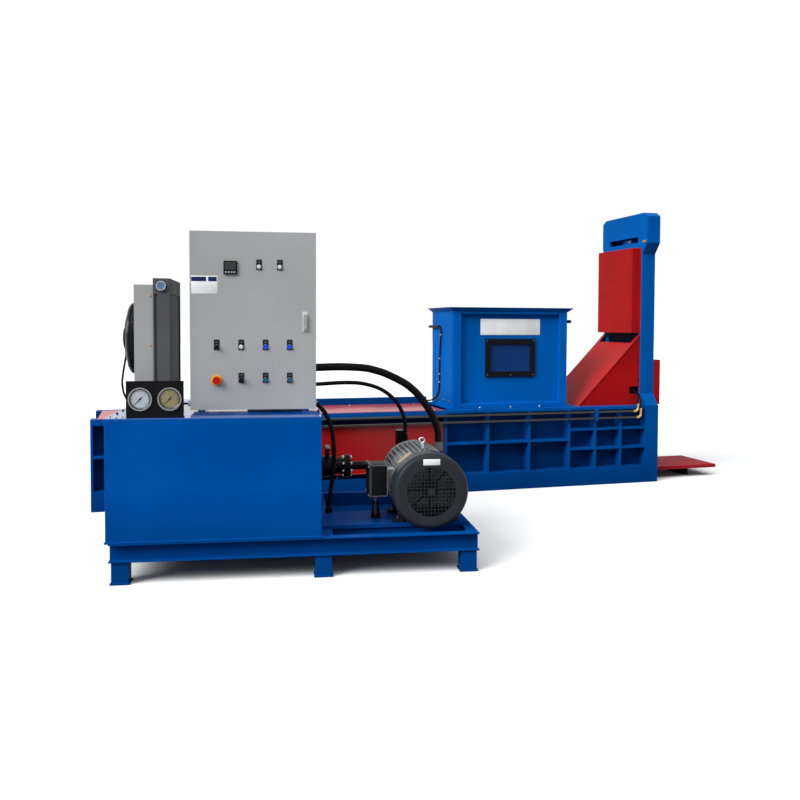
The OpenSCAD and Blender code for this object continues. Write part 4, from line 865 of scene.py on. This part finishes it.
@dataclass(frozen=True)
class Solids:
    """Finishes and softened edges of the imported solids."""

    finishes: tuple[tuple[Finish, str], ...] = (
        (Paint.BLUE, "bed cylinder_bulkhead gate_cylinder skid motor_base oil_tank"),
        (Paint.BLUE_RIBS, "side_frame_near side_frame_far"),
        (Paint.BLUE_PLATE_PAINTED_LIGHT, "tower_front_plate"),
        (Paint.BLUE_TOWER_PAINTED_LIGHT, "tower_frame"),
        (Paint.BLUE_SHEET_PAINTED_LIGHT, "hopper_shell hopper_front"),
        (Paint.RED, "tower_guards slope_guard"),
        (Paint.RED_COVER, "cylinder_guards"),
        (Paint.RED_TABLE, "discharge_table"),
        (Paint.WORN, "main_rod ram_head gate"),
        (Paint.BLACK, "main_cylinder suction_line valve_lever cooler_fan_motor gauge_panel pump"),
        (Paint.PIPE, "pressure_pipes"),
        (Paint.PLASTIC, "window_frame level_sensors needle_left needle_right cooler_fan"),
        (Paint.PLASTIC, "selector_upper selector_lower door_fittings motor_rotor"),
        (Paint.GREY, "cabinet_body cabinet_door"),
        (Paint.SHROUD, "cooler_shroud lock_handle"),
        (Paint.COOLER, "cooler_core"),
        (Paint.MOTOR, "motor_frame"),
        (Paint.COVER, "motor_fan_cover"),
        (Paint.STEEL, "valve_block"),
        (Paint.RING, "gauges"),
        (Paint.BRASS, "pipe_elbows"),
        (Paint.LID, "tank_lid"),
        (Paint.WINDOW_GLASS_PAINTED_SHADE, "window_pane"),
        (Paint.GEAR, "switchgear"),
        (Paint.STOP, "stop_button"),
        (Paint.BLUE_CAP, "button_blue_left button_blue_right"),
        (Paint.TEAL_CAP, "button_teal_left button_teal_right"),
    )
    edges: tuple[tuple[float, str], ...] = (
        (4.0, "bed stop_button"),
        (3.0, "hopper_front window_frame oil_tank ram_head lock_handle"),
        (2.5, "tower_front_plate tower_frame"),
        (2.0, "side_frame_near side_frame_far hopper_shell skid motor_base tank_lid gate"),
        (1.5, "cylinder_guards tower_guards discharge_table cooler_core motor_frame"),
        (1.2, "slope_guard cabinet_body"),
        (1.0, "cooler_shroud gauge_panel"),
    )

    def dress(self) -> None:
        """Give every solid its finish, and its sheet-metal edges a small radius."""
        for finish, names in self.finishes:
            for name in names.split():
                self._paint(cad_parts[name], finish)
                LOG.info("solid %s in %s", name, finish.name)
        for width, names in self.edges:
            for name in names.split():
                self._soften(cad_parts[name], width)

    @staticmethod
    def _paint(solid: bpy.types.Object, finish: Finish) -> None:
        """Put a finish on a solid.

        Args:
            solid: The solid.
            finish: Its finish.
        """
        if not solid.material_slots:
            solid.data.materials.append(finish.material())
        for one in solid.material_slots:
            one.material = finish.material()

    @staticmethod
    def _soften(solid: bpy.types.Object, width: float) -> None:
        """Round the edges of a solid with modifiers.

        Args:
            solid: The solid.
            width: Width of the rounding in millimetres.
        """
        weld = solid.modifiers.new("seam", "WELD")
        weld.merge_threshold = SEAM
        edge = solid.modifiers.new("edge", "BEVEL")
        edge.width = width * MM
        edge.segments = 2
        edge.limit_method = "ANGLE"
        edge.angle_limit = EDGE_ANGLE
        edge.harden_normals = True


@dataclass
class PressDetails:
    """Small pieces on the press: plate, screws, ties and bolts."""

    plate_low: Point = (3100, 140.5, 1301)
    plate_high: Point = (3648, 144, 1437)
    plate_inset: float = 14.0
    window_low: Pair = (3143, 945)
    window_high: Pair = (3601, 1269)
    window_front: float = 129.0
    window_inset: float = 16.0
    rivet: tuple[Pair, ...] = ((5.0, 0.0), (4.2, 1.6), (2.2, 2.4), (0.0, 2.6))
    cable_x: float = 2827
    ties: tuple[Pair, ...] = ((379, 1300), (410, 1095), (413, 960), (414, 890))
    guard_screws: tuple[float, ...] = (620, 1180, 1740, 2300, 2680)
    cover_screws: tuple[float, ...] = (120, 660, 1300, 1480, 2080, 2660)
    slope_edge: tuple[float, ...] = (900, 1075, 1255)
    slope_foot: tuple[Pair, ...] = ((4130, 730), (4250, 905), (4400, 1060), (4520, 1185))

    def build(self) -> None:
        """Build the pieces."""
        self._plate()
        self._window_screws()
        self._ties()
        self._bolts()

    def _plate(self) -> None:
        """Fix a bare white plate with rivets to the hopper's front."""
        low, high, inset = self.plate_low, self.plate_high, self.plate_inset
        # The plate's white is painted light, brighter than the other white plates.
        Piece("hopper_plate", Paint.PLATE, Placing.PRESS).block(low, high, 1.0).make()
        rivets = Piece("plate_rivets", Paint.ZINC, Placing.PRESS)
        for x in (low[0] + inset, high[0] - inset):
            for z in (low[2] + inset, high[2] - inset):
                rivets.lathe(self.rivet, (x, low[1], z), Way.NEAR, 16)
        rivets.make()

    def _window_screws(self) -> None:
        """Put small screws in the corners and the sill of the window frame."""
        (left, low), (right, high), inset = self.window_low, self.window_high, self.window_inset
        seats = [(x, z) for x in (left + inset, right - inset) for z in (low + inset, high - inset)]
        screws = Piece("window_screws", Paint.FERRULE, Placing.PRESS)
        for x, z in [*seats, ((left + right) / 2, low + inset)]:
            screws.disc(5.0, 2.0, (x, self.window_front, z), Way.NEAR, 0.6, 18)
        screws.make()

    def _ties(self) -> None:
        """Tie the sensor's cable to the hopper."""
        ties = Piece("sensor_ties", Paint.TIE, Placing.PRESS)
        for y, z in self.ties:
            ties.ring((7.0, 8.8), (-4.0, 4.0), (self.cable_x, y, z), Way.UP, 0.4, 20)
        ties.make()

    def _bolts(self) -> None:
        """Set the bolts and screws that show on the press."""
        slope = [(4592, 104, z) for z in self.slope_edge] + [(x, 104, z) for x, z in self.slope_foot]
        rows: tuple[tuple[str, list[Point], Way, float, Finish], ...] = (
            ("hopper_front_bolts", [(x, 101, 688) for x in (3081, 3361, 3631)], Way.NEAR, 6.0, Paint.ZINC),
            ("hopper_side_bolts", [(2840, y, 738) for y in (190, 330, 470, 610)], Way.LEFT, 8.0, Paint.BRASS),
            ("side_guard_screws", [(x, 10, 556) for x in self.guard_screws], Way.NEAR, 5.0, Paint.RED),
            ("far_guard_screws", [(x, 780, 556) for x in self.guard_screws], Way.FAR, 5.0, Paint.RED),
            ("cover_screws", [(x, y, 684) for x in self.cover_screws for y in (45, 640)], Way.UP, 6.0,
             Paint.ZINC),
            ("head_bolts", [(4608, y, 2128) for y in (38, 66)], Way.LEFT, 9.0, Paint.BRASS),
            ("clevis_bolt", [(4640, 345, 2150)], Way.LEFT, 10.0, Paint.BRASS),
            ("slope_screws", slope, Way.NEAR, 4.5, Paint.BLACK),
        )
        for name, seats, way, across, finish in rows:
            Piece(name, finish, Placing.PRESS).bolts(seats, way, across).make()


@dataclass
class GaugeFaces:
    """Dials, marks and glasses of the two gauges."""

    centres: Pair = (168.0, 320.0)
    height: float = 985.0
    dial_v: float = 20.0
    glass_v: float = 14.6
    dial: float = 47.0
    radius: float = 54.6
    steps: int = 64
    marks: int = 31
    sweep: Pair = (-135.0, 9.0)
    long_mark: Pair = (34.0, 0.9)
    short_mark: Pair = (38.0, 0.45)
    mark_end: float = 43.0

    def build(self) -> None:
        """Build both faces."""
        for side, u, finish in zip(("left", "right"), self.centres, (Paint.DIAL, Paint.CREAM)):
            self._face(side, u, finish)

    def _face(self, side: str, u: float, finish: Finish) -> None:
        """Build one dial with its marks and glass, and a dark ring of painted shade between the dial and the
        rim.

        Args:
            side: Name of the gauge.
            u: Place of its centre along the skid.
            finish: The dial's finish.
        """
        at = (u, self.dial_v, self.height)
        # A dark sloped ring round the dial: painted shade cast by the gauge's rim.
        shade_ring = [(self.radius, 0.0), (self.radius, 5.0), (self.dial, 0.4), (self.radius, 0.0)]
        Piece("dial_" + side, finish).disc(self.dial, 0.5, at, Way.NEAR, 0.2, self.steps).make()
        Piece("dial_shade_ring_" + side, Paint.SCREEN_AND_SHADE).lathe(shade_ring, at, Way.NEAR, self.steps).make()
        marks = Piece("dial_marks_" + side, Paint.BLACK)
        middle = Vector((u, self.dial_v - 0.6, self.height))
        for k in range(self.marks):
            angle = math.radians(self.sweep[0] + self.sweep[1] * k)
            inner, half = self.short_mark if k % 5 else self.long_mark
            along = Vector((math.sin(angle), 0.0, math.cos(angle)))
            across = Vector((math.cos(angle), 0.0, -math.sin(angle)))
            corners = ((inner, -half), (self.mark_end, -half), (self.mark_end, half), (inner, half))
            marks.bm.faces.new([marks.bm.verts.new(middle + along * r + across * s) for r, s in corners])
        marks.ring((43.2, 44.0), (0.4, 0.7), at, Way.NEAR, 0.1, self.steps).make()
        glass = Piece("dial_glass_" + side, Paint.CLEAR)
        glass.disc(self.radius, 1.6, (u, self.glass_v, self.height), Way.NEAR, 0.3, self.steps).make()


@dataclass
class DoorFace:
    """Controls on the cabinet's door, which stand for the door fittings."""

    columns: tuple[float, ...] = (548, 683, 818, 953)
    high: float = 1255.0
    low: float = 1068.0
    pilot_row: float = 1705.0
    pilots: Pair = (783, 899)
    face: float = 257.0
    bore: float = 12.4
    controller: Point = (625.0, 1700.0, 37.5)
    lens: tuple[Pair, ...] = (
        (0.0, 0.0), (11.6, 0.0), (11.6, 8.0), (10.2, 10.6), (6.5, 12.2), (0.0, 12.6),
    )

    def build(self) -> None:
        """Build the controls."""
        self._legends()
        self._bezels()
        self._lamps()
        self._stop_collar()
        self._controller()
        self._lock()
        self._sticker()

    @staticmethod
    def _piece(name: str, finish: Finish) -> Piece:
        """Start a piece on the door.

        Args:
            name: The piece's name.
            finish: Its finish.

        Returns:
            The empty piece.
        """
        return Piece(name, finish, body="door")

    def _labelled(self) -> list[Pair]:
        """Find the controls that carry a legend plate.

        Returns:
            Their centres along and up.
        """
        upper = [(u, self.high) for u in self.columns]
        lower = [(u, self.low) for u in self.columns[1:]]
        return upper + lower + [(u, self.pilot_row) for u in self.pilots]

    def _legends(self) -> None:
        """Make the black legend holders, which stand for the fittings' solid."""
        depths = (self.face, self.face - 1.5)
        holders = self._piece("legend_holders", Paint.PLASTIC)
        for u, w in self._labelled():
            holders.holed((u - 16, w - 17), (u + 16, w + 42), (u, w, self.bore), depths)
        holders.make("frame_black", ("door_fittings",))
        inserts = self._piece("legend_inserts", Paint.SCREEN_AND_SHADE)
        for u, w in self._labelled():
            inserts.block((u - 11, self.face - 2.6, w + 22), (u + 11, self.face - 1.9, w + 36), 0.2)
        inserts.make()

    def _bezels(self) -> None:
        """Make the bright rings round the controls."""
        rings = self._piece("control_rings", Paint.RING)
        for u, w in self._labelled():
            rings.ring((self.bore, 15.0), (0.0, 8.0), (u, self.face, w), Way.NEAR, 1.2)
        rings.make()

    def _lamps(self) -> None:
        """Make the domed white lenses."""
        lenses = self._piece("white_lenses", Paint.LENS)
        for u, w in [(self.columns[1], self.high)] + [(u, self.pilot_row) for u in self.pilots]:
            lenses.lathe(self.lens, (u, self.face, w), Way.NEAR)
        lenses.make()

    def _stop_collar(self) -> None:
        """Make the yellow collar of the stop button."""
        at = (self.columns[0], self.face, self.low)
        collar = self._piece("stop_collar", Paint.YELLOW)
        collar.ring((self.bore, 29.0), (0.0, 8.0), at, Way.NEAR, 2.5, 48).make()

    def _controller(self) -> None:
        """Make the square controller with its screen and keys."""
        u, w, half = self.controller
        case = self._piece("controller_case", Paint.PLASTIC)
        case.block((u - half, self.face - 12, w - half), (u + half, self.face, w + half), 2.5).make()
        screen = self._piece("controller_screen", Paint.SCREEN_AND_SHADE)
        screen.block((u - 30, self.face - 12.6, w - 12), (u + 30, self.face - 11.8, w + 30), 0.3).make()
        keys = self._piece("controller_keys", Paint.SHROUD)
        for k in range(4):
            left = u - 29 + 15.5 * k
            keys.block((left, self.face - 13.2, w - 31), (left + 11, self.face - 11.8, w - 22), 0.6)
        keys.make()

    def _lock(self) -> None:
        """Make the lock's base with its key cylinder."""
        base = self._piece("lock_base", Paint.SILVER)
        base.block((1025, self.face - 3, 1340), (1057, self.face, 1455), 1.2).make()
        cylinder = Piece("lock_cylinder", Paint.CHROME, body="lock")
        cylinder.ring((2.0, 6.5), (0.0, 2.0), (1041, self.face - 14, 1366), Way.NEAR, 0.5, 24).make()

    def _sticker(self) -> None:
        """Lay a bare white sticker with a plain dark band on the door."""
        sticker = self._piece("door_sticker", Paint.WHITE)
        sticker.block((410, self.face - 0.6, 1553), (554, self.face, 1653), 0.15).make()
        band = self._piece("sticker_band", Paint.NAVY)
        for low, high in ((411, 492), (503, 550)):
            band.block((low, self.face - 0.9, 1622), (high, self.face - 0.5, 1647), 0.1)
        band.make()


@dataclass
class UnitDetails:
    """Small pieces on the power unit: bolts, plates, caps and ferrules."""

    lid_w: float = 885
    motor_u: float = 1738.0
    motor_w: float = 447.0
    suction_v: float = 1000.0
    suction_w: float = 450.0
    suction_bolts: int = 8
    suction_radius: float = 62.0
    port: Point = (253.5, 208, 1591.5)
    port_cap: tuple[Pair, ...] = ((21.2, -1.0), (20.0, 1.2), (12.0, 2.0), (0.0, 2.2))
    guard_u: float = 105.0
    guard_v: float = 475.0
    guard_w: float = 1300.0
    plate_turn: float = -38.0
    boot: tuple[Pair, ...] = ((28.5, 0.0), (28.5, 6.0), (21.0, 50.0), (14.0, 110.0), (11.5, 154.6))
    cowl: tuple[tuple[float, float], ...] = (
        (201.5, 0.4), (201.5, 38), (200, 45), (196, 51), (189, 55), (180, 56), (180, 53.5), (188, 52.5),
        (193.5, 49), (197, 44), (198.5, 37), (198.5, 0.4), (201.5, 0.4),
    )
    guard_wires: tuple[tuple[float, float], ...] = (
        (205, 9), (205, 15), (205, 21), (204, 36), (200, 42), (195, 47), (178, 55), (168, 58), (158, 61),
        (149, 63.5), (131, 67), (122, 68.3), (112, 69.5), (102, 70.8), (82, 72), (72, 72),
    )

    def build(self) -> None:
        """Build the pieces."""
        self._lid_bolts()
        self._cooler_cap()
        self._fan_guard()
        self._motor_plates()
        self._terminal_box()
        self._eyebolt()
        self._suction_bolts()
        self._ferrules()
        self._foot_bolts()

    def _lid_bolts(self) -> None:
        """Bolt the gauge panel and the tank lid down."""
        seats = [(u, v, self.lid_w) for u, v in ((0, 95), (41, 40), (66, 87))]
        Piece("panel_bolts", Paint.ZINC).bolts(seats, Way.UP, 5.0).make()
        seats = [(8, v, self.lid_w) for v in range(260, 1200, 180)]
        seats += [(u, 1185, self.lid_w) for u in range(150, 1120, 190)]
        seats += [(1105, v, self.lid_w) for v in range(560, 1180, 180)]
        Piece("lid_bolts", Paint.BLACK).bolts(seats, Way.UP, 6.0).make()

    def _cooler_cap(self) -> None:
        """Close the cooler's port with a bright ring and a glossy cap, and bolt the shroud."""
        ring = Piece("cooler_port_ring", Paint.CHROME)
        ring.ring((21.0, 26.5), (-4.0, 3.0), self.port, Way.NEAR, 1.0).make()
        Piece("cooler_port_cap", Paint.PORT).lathe(self.port_cap, self.port, Way.NEAR).make()
        seats = [(190, 235, w) for w in (1540, 1268, 1040)]
        Piece("shroud_bolts", Paint.BRASS).bolts(seats, Way.NEAR, 5.0).make()

    def _fan_guard(self) -> None:
        """Fill the fan's guard with its finer wires round a rolled cowl."""
        wires = Piece("guard_wires", Paint.BLACK)
        for radius, reach in self.guard_wires:
            at = (self.guard_u - reach, self.guard_v, self.guard_w)
            wires.hoop(radius, 2.0, at, Way.RIGHT, 72, 8)
        wires.make()
        at = (self.guard_u, self.guard_v, self.guard_w)
        Piece("fan_cowl", Paint.PIPE).lathe(self.cowl, at, Way.LEFT, 96).make()

    def _motor_plates(self) -> None:
        """Fix bare plates to the motor's cover and frame."""
        u, w = self.motor_u, self.motor_w
        cover = Piece("cover_plate", Paint.WHITE)
        cover.block((u - 48, 48.4, w + 151), (u + 48, 50.2, w + 185), 0.6).make()
        rating = Piece("rating_plate", Paint.BRASS).block((-45, 225, 205), (45, 300, 207.5), 0.8)
        turn = Matrix.Rotation(math.radians(self.plate_turn), 4, "Y")
        rating.bm.transform(Matrix.Translation((u, 0, w)) @ turn)
        rating.make()

    def _terminal_box(self) -> None:
        """Cover the terminal box and its cable boot in black."""
        cover = Piece("terminal_cover", Paint.PLASTIC)
        cover.block((1413.6, 224.6, 394.6), (1510.4, 400.4, 573.4), 4.0)
        cover.block((1403.4, 219.4, 389.4), (1414.0, 405.4, 578.4), 3.0)
        cover.lathe(self.boot, (1457, 370, 240.2), Way.UP, 32).make()
        seats = [(1403.4, v, w) for v in (232, 393) for w in (402, 566)]
        Piece("terminal_screws", Paint.ZINC).bolts(seats, Way.LEFT, 3.5).make()

    def _eyebolt(self) -> None:
        """Plate the lifting eye."""
        at = (self.motor_u - 13.0, 320.0, self.motor_w + 255.0)
        eye = Piece("lifting_eye", Paint.ZINC).hoop(15.0, 5.3, at, Way.NEAR, 40, 14)
        eye.ring((4.0, 12.0), (-50.0, -15.0), at, Way.UP, 3.0, 28).make()

    def _suction_bolts(self) -> None:
        """Bolt the suction flanges with bright bolts."""
        bolts = Piece("suction_bolts", Paint.ZINC)
        for k in range(self.suction_bolts):
            angle = 2.0 * math.pi * (k + 0.5) / self.suction_bolts
            v = self.suction_v + self.suction_radius * math.cos(angle)
            w = self.suction_w + self.suction_radius * math.sin(angle)
            bolts.bolts([(1312, v, w)], Way.LEFT, 8.0).bolts([(1356, v, w)], Way.RIGHT, 8.0)
        bolts.make()

    def _ferrules(self) -> None:
        """Crimp a ferrule on the thick hose, and sleeve the thin hose and the motor cable."""
        thick = Piece("thick_ferrule", Paint.FERRULE)
        thick.ring((25.0, 33.0), (-58.0, 0.0), (1949, 1003, 600), Way.UP, 2.0).make()
        glands = Piece("cable_glands", Paint.PLASTIC)
        glands.ring((13.0, 18.0), (-40.0, 4.0), (1716, 940, 655), Way.UP, 1.5)
        glands.ring((13.0, 21.0), (-21.5, 5.0), (1190, 545, 262), Way.UP, 3.0)
        glands.ring((13.0, 17.0), (-12.0, 4.0), (1117.556, 430, 909.444), Way.SLANT, 2.0).make()

    def _foot_bolts(self) -> None:
        """Bolt the motor's feet to the base."""
        seats = [(self.motor_u + s * 162, v, 262) for s in (-1, 1) for v in (255, 500)]
        Piece("motor_foot_bolts", Paint.ZINC).bolts(seats, Way.UP, 9.0).make()


def main() -> None:
    """Build the scene in order."""
    logging.basicConfig(level=logging.INFO, format="%(message)s")
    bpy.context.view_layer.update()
    Studio().build()
    for hose in HOSES:
        hose.build()
    Solids().dress()
    for group in (PressDetails(), GaugeFaces(), DoorFace(), UnitDetails()):
        group.build()
        LOG.info("done: %s", type(group).__name__)


if __name__ == "__main__":
    main()
